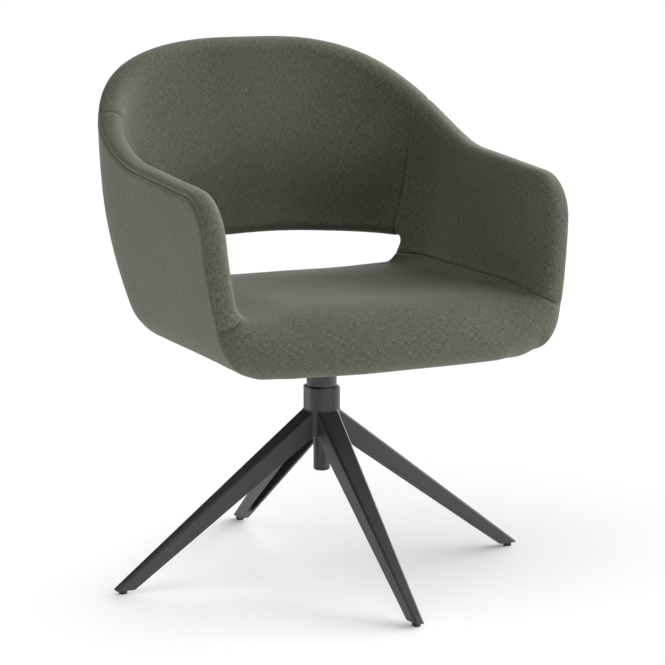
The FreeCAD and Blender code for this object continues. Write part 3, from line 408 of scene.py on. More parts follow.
def opening_top(place):
    """Level of the upper edge of the opening, a shallow arch."""
    return OPENING_TOP - OPENING_ARCH * ((place - BACK_MIDDLE) / (BACK_MIDDLE - SEAM_PLACE)) ** 2


def arm_seam(reach):
    """The seam between arm and back as (upper, lower) ends, this far from rim and opening.
    It slants a little towards the opening."""
    edge, into = rim_edge(SEAM_PLACE)
    return edge + into * reach, Vector((SEAM_FOOT, opening_top(SEAM_FOOT) + reach))


# Distances of the first rows of points from a seam.
SEAM_STEPS = [0.0, 0.001, 0.0024, 0.0045, 0.0075, 0.0120]


def steps(length, step, fine_start=True, fine_end=True):
    """Shares from 0 to 1 along a length, closer together near an end that has a seam."""
    start = SEAM_STEPS if fine_start else [0.0]
    end = SEAM_STEPS if fine_end else [0.0]
    rest = length - start[-1] - end[-1]
    count = max(2, round(rest / step))
    middle = [start[-1] + rest * number / count for number in range(1, count)]
    return [value / length for value in start + middle + [length - value for value in reversed(end)]]


def spanned(bottom, top, front, rear, across, up):
    """Fills a four-sided outline with rows of points that flow from side to side."""
    rows = []
    for row, v in enumerate(up):
        line = []
        for column, u in enumerate(across):
            point = (1 - v) * bottom[column] + v * top[column] + (1 - u) * front[row] + u * rear[row]
            point -= (1 - u) * (1 - v) * bottom[0] + u * (1 - v) * bottom[-1]
            point -= (1 - u) * v * top[0] + u * v * top[-1]
            line.append(point)
        rows.append(line)
    return rows


def shares_of(path):
    """How far along a line of points each point is, from 0 to 1."""
    run = [0.0]
    for before, after in zip(path, path[1:]):
        run.append(run[-1] + (after - before).length)
    return [value / run[-1] for value in run]


def along_path(path, share):
    """The point at a share of the length of a line of points."""
    marks = shares_of(path)
    for number in range(1, len(path)):
        if share <= marks[number] or number == len(path) - 1:
            part = (share - marks[number - 1]) / (marks[number] - marks[number - 1])
            return path[number - 1].lerp(path[number], min(1.0, part))


SEAM_PULL = 0.0026
SEAM_PULL_RUN = 0.0016
SEAM_SWELL = 0.0005
SEAM_SWELL_PLACE = 0.009
SEAM_SWELL_RUN = 0.005
ALLOWANCE = 0.0013
COVER_THICKNESS = 0.0035
WAVER = 0.0006
WAVERS_PER_METRE = 14
WELD_DISTANCE = 2e-5
OTHER_SIDE = Vector((-1.0, 1.0, 1.0))


def seam_dip(distance):
    """How far stitching pulls the cloth in, this far from a seam, with a faint swelling beyond."""
    swell = SEAM_SWELL * math.exp(-((distance - SEAM_SWELL_PLACE) / SEAM_SWELL_RUN) ** 2)
    return SEAM_PULL * math.exp(-distance / SEAM_PULL_RUN) - swell


def placed(name, data):
    """A new object in the scene."""
    item = bpy.data.objects.new(name, data)
    bpy.context.scene.collection.objects.link(item)
    return item


def smooth_piece(name, mesh):
    """An object made from a working mesh, smooth all over."""
    for face in mesh.faces:
        face.smooth = True
    data = bpy.data.meshes.new(name)
    mesh.to_mesh(data)
    mesh.free()
    return placed(name, data)


def sewn_cover(name, grids, outward):
    """Joins grids of (point, cloth coordinates, distance to the nearest seam) into one padded cover, with
    a little allowance at its edges. Outward is about the way that the first face looks."""
    mesh = bmesh.new()
    cloth = mesh.verts.layers.float_vector.new("cloth")
    seam = mesh.verts.layers.float.new("seam")
    for grid in grids:
        rows = []
        for line in grid:
            row = []
            for point, (u, v), distance in line:
                vertex = mesh.verts.new(point)
                vertex[cloth] = (u, v, 0.0)
                vertex[seam] = distance
                row.append(vertex)
            rows.append(row)
        for lower, upper in zip(rows, rows[1:]):
            for number in range(len(lower) - 1):
                mesh.faces.new((lower[number], lower[number + 1], upper[number + 1], upper[number]))
    bmesh.ops.remove_doubles(mesh, verts=mesh.verts, dist=WELD_DISTANCE)
    bmesh.ops.recalc_face_normals(mesh, faces=mesh.faces)
    mesh.faces.ensure_lookup_table()
    mesh.normal_update()
    if mesh.faces[0].normal.dot(Vector(outward)) < 0:
        bmesh.ops.reverse_faces(mesh, faces=mesh.faces)
        mesh.normal_update()
    moves = []
    for vertex in mesh.verts:
        waver = WAVER * noise.noise(vertex.co * WAVERS_PER_METRE)
        move = vertex.normal * (waver - seam_dip(vertex[seam]))
        borders = [edge for edge in vertex.link_edges if edge.is_boundary]
        for edge in borders:
            move -= edge.calc_tangent(edge.link_loops[0]) * ALLOWANCE / len(borders)
        moves.append(move)
    for vertex, move in zip(mesh.verts, moves):
        vertex.co += move
    weave = mesh.loops.layers.uv.new("cloth")
    for face in mesh.faces:
        for loop in face.loops:
            loop[weave].uv = loop.vert[cloth].xy
    cover = smooth_piece(name, mesh)
    padding = cover.modifiers.new("padding", "SOLIDIFY")
    padding.thickness = COVER_THICKNESS
    padding.offset = -1.0
    smooth = cover.modifiers.new("smooth", "SUBSURF")
    smooth.levels = 1
    smooth.render_levels = 1
    return cover


def mirrored(grids):
    """The same grids for the other side of the chair."""
    return [[[(point * OTHER_SIDE, (-u, v), distance) for point, (u, v), distance in line]
             for line in grid] for grid in grids]


WARP_PITCH = 0.00105
WEFT_PITCH = 0.00115


def linen(name):
    """Sage green linen-like weave: crossing threads with thicker slubs, in two close tones."""
    material, tree, surface = shader(name)
    cloth = tree.nodes.new("ShaderNodeUVMap")
    cloth.uv_map = "cloth"
    space = cloth.outputs["UV"]
    warp = mottle(tree, space, 1050.0, 0.0, (1.0, 0.12, 1.0))
    weft = mottle(tree, space, 980.0, 0.0, (0.13, 1.0, 1.0))
    slubs = combined(tree, "ADD", spread(tree, warp, 0.0, 0.5), spread(tree, weft, 0.0, 0.5))
    tone = two_tone(tree, slubs, (0.044, 0.048, 0.031), (0.148, 0.162, 0.108))
    cloudy = spread(tree, mottle(tree, space, 9.0, 3.0), 0.0, 1.0)
    shaded = laid_over(tree, cloudy, tone, (0.90, 0.91, 0.92), "MULTIPLY")
    split = tree.nodes.new("ShaderNodeSeparateXYZ")
    tree.links.new(space, split.inputs["Vector"])
    threads = []
    for axis, pitch in (("X", WARP_PITCH), ("Y", WEFT_PITCH)):
        turns = combined(tree, "MULTIPLY", split.outputs[axis], 2 * math.pi / pitch)
        threads.append(combined(tree, "SINE", turns))
    weave = raised(tree, combined(tree, "MULTIPLY", *threads), 0.00012, 0.5)
    bump = raised(tree, slubs, 0.00030, 0.6, weave)
    connect(tree, surface, shaded, spread(tree, slubs, 0.78, 0.92), bump)
    surface.inputs["Sheen Weight"].default_value = 0.25
    surface.inputs["Sheen Roughness"].default_value = 0.5
    surface.inputs["Sheen Tint"].default_value = (0.72, 0.76, 0.66, 1.0)
    surface.inputs["Specular IOR Level"].default_value = 0.25
    return material


cover_linen = linen("cover_linen")


def upholstered(cover, *replaced):
    """The finish and the frame calls that all covers share."""
    cover.data.materials.append(cover_linen)
    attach(cover, "seat")
    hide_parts(*replaced)


EDGE_SPACING = 0.008
# Degrees from point to point round the rolls and corners, and round the end of the opening.
ROUND_STEP = 9
NOTCH_STEP = 15
PANEL_SWELL = 0.0004
# Distance from the sewn edge and depth of the cloth there, with the groove of the top stitching.
PANEL_STRIP = [
    (0.0000, 0.0030), (0.0006, 0.0013), (0.0016, 0.0003), (0.0030, -0.0002), (0.0040, 0.0001),
    (0.0046, 0.0005), (0.0052, 0.0001), (0.0062, -0.0003), (0.0090, -0.0006), (0.0130, -0.0006),
    (0.0180, -PANEL_SWELL)]


def panel_edge():
    """The sewn edge of a side panel from the foot of the arm's front up and back to the arm seam,
    as (point, direction into the cloth) pairs, and the number of the pair on the corner."""
    front = []
    foot = lip_level(ARM_FRONT + FRONT_LOWER_CORNER)
    for share in steps(CORNER_LEVEL - foot, EDGE_SPACING, True, False):
        level = foot + share * (CORNER_LEVEL - foot)
        edge = Vector((front_place(max(level, SHELL_BOTTOM)), level))
        front.append((edge, Vector((1.0, 0.0))))
    corner = [corner_edge(turn) for turn in range(0, 91, ROUND_STEP)]
    start = ARM_FRONT + FRONT_CORNER
    length = SEAM_PLACE - start
    top = [rim_edge(start + share * length) for share in steps(length, EDGE_SPACING, False)]
    upper, lower = arm_seam(SEAM_INSET)
    seam_way = (lower - upper).normalized()
    pairs = []
    for edge, into in front + corner[1:] + top[1:]:
        near = max(0.0, 1 - (SEAM_PLACE - edge.x) / SEAM_TURN_RUN)
        pairs.append((edge + into * SEAM_INSET, into.lerp(seam_way, near ** 2).normalized()))
    return pairs, len(front) - 1 + 45 // ROUND_STEP


def panel_rear():
    """The rear edge of a side panel, from the bottom up round the opening's end to the arm seam."""
    seam_level = arm_seam(SEAM_INSET)[1].y
    notch = CHEEK_PLACE - SEAM_INSET
    reach = OPENING_CORNER + SEAM_INSET
    lower_corner = Vector((notch, OPENING_BOTTOM - SEAM_INSET))
    upper_corner = Vector((notch, seam_level))
    path = [Vector((SEAM_FOOT, lip_level(SEAM_FOOT))), Vector((SEAM_FOOT, lower_corner.y))]
    turns = [math.radians(turn) for turn in range(0, 91, NOTCH_STEP)]
    path += [lower_corner + reach * Vector((1 - math.sin(turn), 1 - math.cos(turn))) for turn in turns]
    path += [upper_corner + reach * Vector((1 - math.cos(turn), math.sin(turn) - 1)) for turn in turns]
    return path


def side_panel_grids():
    """A side panel: the strip along its sewn edge, and the rest of it."""
    edge, middle = panel_edge()
    strip = []
    for point, into in edge:
        beside = max(0.0, SEAM_PLACE + SEAM_INSET - point.x)
        line = []
        for reach, depth in PANEL_STRIP:
            spot = point + into * reach
            line.append((lower_wall(spot.x, spot.y, depth), tuple(spot), beside))
        strip.append(line)
    inside = [point + into * PANEL_STRIP[-1][0] for point, into in edge]
    front, top = inside[:middle + 1], inside[middle:]
    up, across = shares_of(front), shares_of(top)
    rear_path = panel_rear() + [top[-1]]
    rear = [along_path(rear_path, share) for share in up]
    bottom = []
    for share in across:
        place = front[0].x + share * (rear[0].x - front[0].x)
        bottom.append(Vector((place, lip_level(place))))
    bottom[0], bottom[-1] = front[0], rear[0]
    core = []
    for row, line in enumerate(spanned(bottom, top, front, rear, across, up)):
        core.append([(lower_wall(spot.x, spot.y, -PANEL_SWELL), tuple(spot), (rear[row] - spot).length)
                     for spot in line])
    return [strip, core]


right_side = side_panel_grids()
upholstered(sewn_cover("side_cover_right", right_side, (1, 0, 0)), "outer_panel_right")
upholstered(sewn_cover("side_cover_left", mirrored(right_side), (-1, 0, 0)), "outer_panel_left")

# Outer back panels
# Two more panels close the shell behind, one above the opening and one below it.
# Sewn to the rolled edges above and below the opening and to the side panels.
UPPER_PANEL_HEIGHT = 0.24
LOWER_PANEL_HEIGHT = 0.12
ROW_SPACING = 0.009
BACK_SPACING = 0.011
BACK_WIDTH = 2 * (BACK_MIDDLE - SEAM_PLACE)


def across_back(share, start):
    """The place at a share of the way across the back, from a place on the right to its mirror."""
    return start + share * 2 * (BACK_MIDDLE - start)


def strip_depth(reach):
    """Depth of a panel this far from its top-stitched edge."""
    for (near, before), (far, after) in zip(PANEL_STRIP, PANEL_STRIP[1:]):
        if reach <= far:
            return before + (after - before) * (reach - near) / (far - near)
    return -PANEL_SWELL


def back_panel_grid(low_edge, high_edge, height, stitched):
    """A panel across the back between two edges, each given as a function of the share across."""
    rows = steps(height, ROW_SPACING)
    if stitched:
        rows = rows[:-len(SEAM_STEPS)] + [1 - reach / height for reach, depth in reversed(PANEL_STRIP)]
    grid = []
    for share in steps(BACK_WIDTH, BACK_SPACING):
        beside = min(share, 1 - share) * BACK_WIDTH
        low, high = low_edge(share), high_edge(share)
        line = []
        for row in rows:
            spot = low.lerp(high, row)
            if stitched:
                depth = strip_depth((high - spot).length)
                distance = min(beside, (spot - low).length)
            else:
                depth = -PANEL_SWELL
                distance = min(beside, (high - spot).length)
            line.append((lower_wall(spot.x, spot.y, depth), tuple(spot), distance))
        grid.append(line)
    return grid


def back_top_seam(share):
    """The outer seam below the rim."""
    edge, into = rim_edge(across_back(share, SEAM_PLACE))
    return edge + into * SEAM_INSET


def opening_seam_above(share):
    """The outer seam above the opening."""
    place = across_back(share, SEAM_FOOT)
    return Vector((place, opening_top(place) + SEAM_INSET))


def opening_seam_below(share):
    """The outer seam below the opening."""
    return Vector((across_back(share, SEAM_FOOT), OPENING_BOTTOM - SEAM_INSET))


def lower_lip(share):
    """The panel's end under the shell."""
    place = across_back(share, SEAM_FOOT)
    return Vector((place, lip_level(place)))


upper_grid = back_panel_grid(opening_seam_above, back_top_seam, UPPER_PANEL_HEIGHT, True)
upholstered(sewn_cover("back_cover_outer", [upper_grid], (1, 0, 0)), "outer_back_panel")
lower_grid = back_panel_grid(lower_lip, opening_seam_below, LOWER_PANEL_HEIGHT, False)
upholstered(sewn_cover("back_cover_lower", [lower_grid], (0.7, 0, -0.7)), "lower_back_panel")

# Top stitching
# One row of thread beside the outer seam, up each arm front, along both arms and across the back.
# Lockstitch at four millimetres, each stitch sunk in the cloth at its ends.
STITCH_LINE = 0.0046
STITCH_PITCH = 0.0040
STITCH_LENGTH = 0.0029
# Share of a stitch and height of its thread there.
STITCH_SECTION = [(0.0, -0.0005), (0.12, 0.0001), (0.5, 0.0004), (0.88, 0.0001), (1.0, -0.0005)]
STITCH_BED = 0.0004
OUT_OF_CLOTH = 0.002
BACK_POINTS = 60
THREAD = 0.00036
THREAD_SIDES = 6


def stitch_path():
    """Points along the row, from foot to foot of the arms, each with the direction out of the cloth."""
    edge = panel_edge()[0]
    spots = [point + into * STITCH_LINE for point, into in edge]
    for number in range(1, BACK_POINTS):
        point, into = rim_edge(across_back(number / BACK_POINTS, SEAM_PLACE))
        spots.append(point + into * (SEAM_INSET + STITCH_LINE))
    right = []
    for spot in spots:
        surface = lower_wall(spot.x, spot.y, STITCH_BED)
        out = lower_wall(spot.x, spot.y, STITCH_BED - OUT_OF_CLOTH) - surface
        right.append((surface, out.normalized()))
    left = [(point * OTHER_SIDE, out * OTHER_SIDE) for point, out in right[:len(edge)]]
    return right + list(reversed(left))


def stitches(path):
    """A short thread for each stitch along the path."""
    mesh = bmesh.new()
    points = [point for point, out in path]
    length = sum((after - before).length for before, after in zip(points, points[1:]))
    marks = shares_of(points)
    piece = 0
    for number in range(int(length / STITCH_PITCH)):
        rings = []
        for share, lift in STITCH_SECTION:
            spot = (number * STITCH_PITCH + share * STITCH_LENGTH) / length
            while piece < len(points) - 2 and marks[piece + 1] < spot:
                piece += 1
            while piece > 0 and marks[piece] > spot:
                piece -= 1
            part = (spot - marks[piece]) / (marks[piece + 1] - marks[piece])
            out = path[piece][1].lerp(path[piece + 1][1], part).normalized()
            way = (points[piece + 1] - points[piece]).normalized()
            centre = points[piece].lerp(points[piece + 1], part) + out * lift
            beside = way.cross(out).normalized()
            ring = []
            for side in range(THREAD_SIDES):
                angle = 2 * math.pi * side / THREAD_SIDES
                round_thread = beside * math.cos(angle) + out * math.sin(angle)
                ring.append(mesh.verts.new(centre + round_thread * THREAD))
            rings.append(ring)
        for before, after in zip(rings, rings[1:]):
            for side in range(THREAD_SIDES):
                mesh.faces.new((before[side], before[side - 1], after[side - 1], after[side]))
        mesh.faces.new(rings[0])
        mesh.faces.new(list(reversed(rings[-1])))
    bmesh.ops.recalc_face_normals(mesh, faces=mesh.faces)
    return smooth_piece("top_stitching", mesh)


def sewing_thread():
    """Twisted thread a little darker than the cloth."""
    material, tree, surface = shader("sewing_thread")
    twist = spread(tree, mottle(tree, object_space(tree), 2600.0), 0.0, 1.0)
    tone = two_tone(tree, twist, (0.050, 0.056, 0.036), (0.100, 0.110, 0.074))
    tree.links.new(tone, surface.inputs["Base Color"])
    surface.inputs["Roughness"].default_value = 0.6
    return material


top_stitching = stitches(stitch_path())
top_stitching.data.materials.append(sewing_thread())
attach(top_stitching, "seat")

# Arms
# Each arm is one cover over foam: the rolled top and front edge and the inner face down to the seat.
# Pulled tight over the steel hoop and sewn to side panel, back and seat.

# A distance at which no seam is felt.
NO_SEAM = 0.1
# Rolled edge.
ROLL_RISE = 0.0095
ROLL_REACH = WALL / 2
SEAM_EASE = 0.0007
# Seam between arm and seat, with the hollow and the ridge along it.
CREASE_FRONT = ARM_FRONT + ROLL_REACH
CREASE_REAR = CHEEK_PLACE - ROLL_REACH
CREASE_LEVEL = 0.459
CREASE_FALL = 0.007
CREASE_FALL_START = -0.140
CREASE_FALL_RUN = 0.090
HOLLOW_FRONT = 0.018
HOLLOW_REAR = 0.007
SEAM_IN_HOLLOW = 1 - math.sqrt(0.5)
RIDGE = 0.0018
RIDGE_ABOVE = 0.003
RIDGE_WIDTH = 0.0028
# Ends of the rolled edge at the arm's front and beside the opening.
CROSS_SEAM_OUTER = 0.436
CROSS_SEAM_MIDDLE = 0.440
CHEEK_FOOT = 0.418
CHEEK_MIDDLE = 0.436
CHEEK_STEP = 10
CHEEK_SPACING = 0.007
FACE_SPACING = 0.010


def crease(place):
    """Level of the seam between arm and seat, which falls away at the front."""
    return CREASE_LEVEL - CREASE_FALL * (max(0.0, CREASE_FALL_START - place) / CREASE_FALL_RUN) ** 2


def hollow(place):
    """Radius of the soft hollow between arm and seat, tighter towards the back."""
    share = (place - CREASE_FRONT) / (CREASE_REAR - CREASE_FRONT)
    return HOLLOW_FRONT + (HOLLOW_REAR - HOLLOW_FRONT) * min(1.0, max(0.0, share))


def hollow_rise(reach, radius):
    """How far the hollow stands out of a face, this far from where the two faces would meet."""
    near = max(0.0, 1 - reach / radius)
    return radius * (1 - math.sqrt(1 - near ** 2))


def inner_depth(place, level):
    """Depth of an arm's inner face, which runs out into the hollow beside the seat."""
    radius = hollow(place)
    above = max(0.0, level - crease(place))
    ridge = RIDGE * math.exp(-((above - RIDGE_ABOVE) / RIDGE_WIDTH) ** 2)
    return WALL + ridge + hollow_rise(above + SEAM_IN_HOLLOW * radius, radius)


def face_depth(spot):
    """The same for a spot of the arm's cloth."""
    return inner_depth(max(spot.x, CREASE_FRONT), spot.y)


def roll_section():
    """Rolled edge from the outer seam over to the inner face: angle, reach from the edge, and depth
    as shares of the two half thicknesses."""
    section = [(0, SEAM_INSET, 0.0, 0.0), (0, SEAM_INSET - SEAM_EASE, 0.0, 0.0)]
    for turn in range(0, 90, ROUND_STEP):
        angle = math.radians(turn)
        section.append((turn, ROLL_RISE * (1 - math.sin(angle)), 1 - math.cos(angle), 0.0))
    for turn in range(0, 91, ROUND_STEP):
        angle = math.radians(turn)
        section.append((90 + turn, ROLL_REACH * (1 - math.cos(angle)), 1.0, math.sin(angle)))
    return section


ROLL = roll_section()


def roll_runs():
    """Length of cloth from each point of the rolled edge to the inner face."""
    points = [Vector((reach, ROLL_REACH * (outer + inner))) for turn, reach, outer, inner in ROLL]
    points.reverse()
    runs = [0.0]
    for after, before in zip(points, points[1:]):
        runs.append(runs[-1] + (after - before).length)
    return list(reversed(runs))


ROLL_RUN = roll_runs()


def roll_levels(outer, middle, inner, rise, end):
    """Levels across the rolled edge: slanted from outer over middle to inner at rise 0, level at the
    end at rise 1."""
    levels = []
    for turn, *section in ROLL:
        angle = math.radians(turn)
        if turn <= 90:
            foot = middle + (outer - middle) * math.cos(angle)
        else:
            foot = middle + (inner - middle) * math.sin(angle - math.pi / 2)
        levels.append(foot + rise * (end - foot))
    return levels


def roll_line(edge, into, levels=None, distance=NO_SEAM, depth_at=None):
    """One line of the rolled edge at an edge point, with the cloth's own coordinates."""
    line = []
    for number, (turn, reach, outer, inner) in enumerate(ROLL):
        spot = edge + into * reach
        base = edge + into * ROLL_REACH
        if levels:
            spot.y = base.y = levels[number]
        thick = (depth_at(spot) if depth_at else WALL) - ROLL_REACH
        depth = ROLL_REACH * outer + thick * inner
        cloth = base - into * ROLL_RUN[number]
        seam = ROLL_RUN[0] - ROLL_RUN[number]
        line.append((wall(spot.x, spot.y, depth), tuple(cloth), min(distance, seam)))
    return line


def cheek_grid():
    """Rolled edge beside the opening, from the seat up and round to the arm seam, and its inner line."""
    grid, inside = [], []
    centre = Vector((SEAM_FOOT, opening_top(SEAM_FOOT) - OPENING_CORNER))
    foot = crease(CREASE_REAR)
    edge = Vector((CHEEK_PLACE, centre.y))
    for share in steps(centre.y - foot, CHEEK_SPACING, True, False):
        levels = roll_levels(CHEEK_FOOT, CHEEK_MIDDLE, foot, share, edge.y)
        grid.append(roll_line(edge, Vector((-1.0, 0.0)), levels, NO_SEAM, face_depth))
        inside.append(Vector((CREASE_REAR, levels[-1])))
    for turn in range(CHEEK_STEP, 91, CHEEK_STEP):
        angle = math.radians(turn)
        into = Vector((-math.cos(angle), math.sin(angle)))
        edge = centre + into * OPENING_CORNER
        grid.append(roll_line(edge, into, None, OPENING_CORNER * (math.pi / 2 - angle)))
        inside.append(edge + into * ROLL_REACH)
    return grid, inside


def front_roll(up):
    """Rolled edge up an arm's front to the middle of its corner, and its inner line."""
    foot = crease(CREASE_FRONT)
    upright = CORNER_LEVEL - foot
    bend = FRONT_CORNER * math.pi / 4
    strip, inside = [], []
    for share in up:
        run = share * (upright + bend)
        if run <= upright:
            edge, into = Vector((ARM_FRONT, CORNER_LEVEL)), Vector((1.0, 0.0))
            levels = roll_levels(CROSS_SEAM_OUTER, CROSS_SEAM_MIDDLE, foot, run / upright, CORNER_LEVEL)
            strip.append(roll_line(edge, into, levels, run, face_depth))
            inside.append(Vector((CREASE_FRONT, levels[-1])))
        else:
            edge, into = corner_edge(45 * (run - upright) / bend)
            strip.append(roll_line(edge, into))
            inside.append(edge + into * ROLL_REACH)
    return strip, inside


def arm_grids():
    """An arm's cover: inner face, rolled edge at front and top, rolled edge beside the opening."""
    cheek, rear = cheek_grid()
    upper, lower = arm_seam(ROLL_REACH)
    seam_shares = steps((upper - lower).length, FACE_SPACING, False, False)
    rear += [lower.lerp(upper, share) for share in seam_shares[1:]]
    up = shares_of(rear)
    strip, front = front_roll(up)
    edges = [corner_edge(turn) for turn in range(45, 90, ROUND_STEP)]
    begin = ARM_FRONT + FRONT_CORNER
    length = SEAM_PLACE - begin
    edges += [rim_edge(begin + share * length) for share in steps(length, ROW_SPACING, False)]
    strip += [roll_line(edge, into, None, SEAM_PLACE - edge.x) for edge, into in edges]
    top = [edge + into * ROLL_REACH for edge, into in edges]
    across = shares_of(top)
    bottom = []
    for share in across:
        place = CREASE_FRONT + share * (CREASE_REAR - CREASE_FRONT)
        bottom.append(Vector((place, crease(place))))
    front[-1], front[0], rear[0] = top[0], bottom[0], bottom[-1]
    face = []
    for line in spanned(bottom, top, front, rear, across, up):
        row = []
        for spot in line:
            rise = min(1.0, max(0.0, (spot.y - lower.y) / (upper.y - lower.y)))
            beside = (lower.lerp(upper, rise) - spot).length
            distance = max(0.0, min(beside, spot.y - crease(spot.x)))
            row.append((wall(spot.x, spot.y, face_depth(spot)), tuple(spot), distance))
        face.append(row)
    return [face, strip, cheek]


right_arm = arm_grids()
upholstered(sewn_cover("arm_cover_right", right_arm, (-1, 0, 0)), "arm_pad_right")
upholstered(sewn_cover("arm_cover_left", mirrored(right_arm), (1, 0, 0)), "arm_pad_left")

# Back
# One padded cover from the seam behind the rim, over the rim, down the inner face and under the
# edge of the opening. Foam over the steel hoop and cross rod, sewn to both arms.
BACK_CROWN = 0.014
CROWN_RUN = 0.06
CROWN_LOW = 1.3
BACK_ROWS = 26


def back_grid():
    """The back's cover in lines from the outer seam at the rim to the outer seam at the opening."""
    grid = []
    for share in steps(BACK_WIDTH, BACK_SPACING):
        beside = min(share, 1 - share) * BACK_WIDTH
        edge, into = rim_edge(across_back(share, SEAM_PLACE))
        place = across_back(share, SEAM_FOOT)
        foot = Vector((place, opening_top(place)))
        high = edge + into * ROLL_REACH
        low = foot + Vector((0.0, ROLL_REACH))
        crown = BACK_CROWN * min(1.0, beside / CROWN_RUN)
        line = roll_line(edge, into, None, beside)
        for number in range(1, BACK_ROWS):
            row = number / BACK_ROWS
            spot = high.lerp(low, row)
            depth = WALL + crown * math.sin(math.pi * row ** CROWN_LOW) ** 2
            line.append((wall(spot.x, spot.y, depth), tuple(spot), beside))
        line += reversed(roll_line(foot, Vector((0.0, 1.0)), None, beside))
        grid.append(line)
    return grid


upholstered(sewn_cover("back_cover", [back_grid()], (1, 0, 0)), "back_pad")

# Seat
# Deep foam seat in one cover: down over the front, out to the side panels below the arms, and at the
# back over the rolled edge under the opening. Sewn to the arms along the hollow on each side.

# Top and front roll.
SEAT_EDGE = 0.455
SEAT_CROWN = 0.004
SEAT_FALL = 0.021
SEAT_HALF = 0.240
SEAT_FRONT = -0.266
SEAT_BOW = 0.026
TIP_LEVEL = 0.395
UPPER_ROUND = 0.075
LOWER_ROUND = 0.036
STRAIGHT_HALF = 0.150
STRAIGHT_RIBS = 14
UNDER_EDGE = -0.222
# The front's round ends, and the ways their lines leave the straight part and arrive at the arm.
CORNER_RUN = 0.16
CORNER_SPACING = 0.007
CORNER_UNDER = 0.30
UNDER_LEAVE = Vector((0.07, 0.0, 0.0))
UNDER_ARRIVE = Vector((0.042, 0.0, 0.0))
TIP_LEAVE = 0.17
TIP_ARRIVE = 0.045
TIP_BACK = Vector((0.0, 0.03, 0.0))
TOP_LEAVE = 0.09
TOP_ARRIVE = Vector((0.07, -0.01, 0.0))
TURNED_UNDER = Vector((-0.0006, 0.0006, 0.0006))
# Rear edge and the roll below the opening, its turns in degrees and closer together near the seam.
ROLL_INNER = 0.034
REAR_GAP = 0.002
REAR_LEVEL_HALF = 0.2
REAR_LIFT = 0.010
REAR_CORNER = 0.016
REAR_CLOTH = 0.04
REAR_TURNS = (8, 18, 28, 38, 48, 58, 66, 74, 80, 85, 90)


def seat_tip(across):
    """Where the seat front stands furthest forward, bowed between the arms."""
    return SEAT_FRONT - SEAT_BOW * (1 - (across / SEAT_HALF) ** 2)


def seat_level(across, along):
    """Height of the seat away from the arms: crowned at the front, falling to the opening."""
    crown = 1 - min(1.0, abs(across) / SEAT_HALF) ** 2
    front = seat_tip(across) + UPPER_ROUND
    share = (along - front) / (BACK_CENTRE + back_reach(SEAT_EDGE) - front)
    high = SEAT_EDGE + SEAT_CROWN * crown
    low = SEAT_EDGE - SEAT_FALL * crown
    return high + (low - high) * share + 4 * SEAT_CROWN * share * (1 - share)


def eased(start, leave, end, arrive, share):
    """A smooth line between two points with the given directions at its ends."""
    square, cube = share ** 2, share ** 3
    return ((2 * cube - 3 * square + 1) * start + (cube - 2 * square + share) * leave
            + (3 * square - 2 * cube) * end + (cube - square) * arrive)


def quarter(centre, start, end, turns):
    """Points on a quarter of an ellipse round a centre, from start towards end."""
    first, last = start - centre, end - centre
    angles = [math.radians(turn) for turn in turns]
    return [centre + first * math.cos(angle) + last * math.sin(angle) for angle in angles]


def panel_foot(level):
    """The front edge of a side panel at a level of its cloth."""
    return lower_wall(front_place(max(level, SHELL_BOTTOM)) + SEAM_INSET, level, 0.0)


def crease_base(place):
    """The seam between arm and seat, lowered by the height of the hollow."""
    point = wall(place, crease(place), inner_depth(place, crease(place)))
    point.z -= SEAM_IN_HOLLOW * hollow(place)
    return point


def hollowed(point, seam, radius):
    """A point of the seat lifted by the hollow beside a seam, and its distance from that seam."""
    away = (seam.xy - point.xy).length
    lifted = point.copy()
    lifted.z += hollow_rise(away + SEAM_IN_HOLLOW * radius, radius)
    return lifted, away


def rib_points(across):
    """Underside edge, start of the lower bend, foremost point and upper end of the seat front."""
    tip = seat_tip(across)
    back = tip + UPPER_ROUND
    return (Vector((across, UNDER_EDGE, SHELL_BOTTOM)), Vector((across, tip + LOWER_ROUND, SHELL_BOTTOM)),
            Vector((across, tip, TIP_LEVEL)), Vector((across, back, seat_level(across, back))))


def seat_ribs():
    """The same from the middle of the chair to the cross seam of the right arm."""
    ribs = [rib_points(STRAIGHT_HALF * number / STRAIGHT_RIBS) for number in range(STRAIGHT_RIBS + 1)]
    lip, under, tip, top = ribs[-1]
    inward = rib_points(STRAIGHT_HALF - PROBE)
    tip_way = (tip - inward[2]).normalized() * TIP_LEAVE
    top_way = (top - inward[3]).normalized() * TOP_LEAVE
    cross = wall(front_place(CROSS_SEAM_MIDDLE), CROSS_SEAM_MIDDLE, ROLL_REACH)
    above = wall(front_place(CROSS_SEAM_MIDDLE + PROBE), CROSS_SEAM_MIDDLE + PROBE, ROLL_REACH)
    cross_way = (above - cross).normalized() * TIP_ARRIVE + TIP_BACK
    foot = lip_level(ARM_FRONT + FRONT_LOWER_CORNER)
    side = panel_foot(foot)
    end = crease_base(CREASE_FRONT)
    for share in steps(CORNER_RUN, CORNER_SPACING, False, True)[1:]:
        if share <= CORNER_UNDER:
            part = share / CORNER_UNDER
            start = eased(under, UNDER_LEAVE, side, UNDER_ARRIVE, part)
            edge = eased(lip, UNDER_LEAVE, side, UNDER_ARRIVE, part)
            start.z = edge.z = SHELL_BOTTOM
        else:
            rise = (share - CORNER_UNDER) / (1 - CORNER_UNDER)
            start = panel_foot(foot + (CROSS_SEAM_OUTER - foot) * rise)
            edge = start + TURNED_UNDER
        ribs.append((edge, start, eased(tip, tip_way, cross, cross_way, share),
                     eased(top, top_way, end, TOP_ARRIVE, share)))
    return ribs


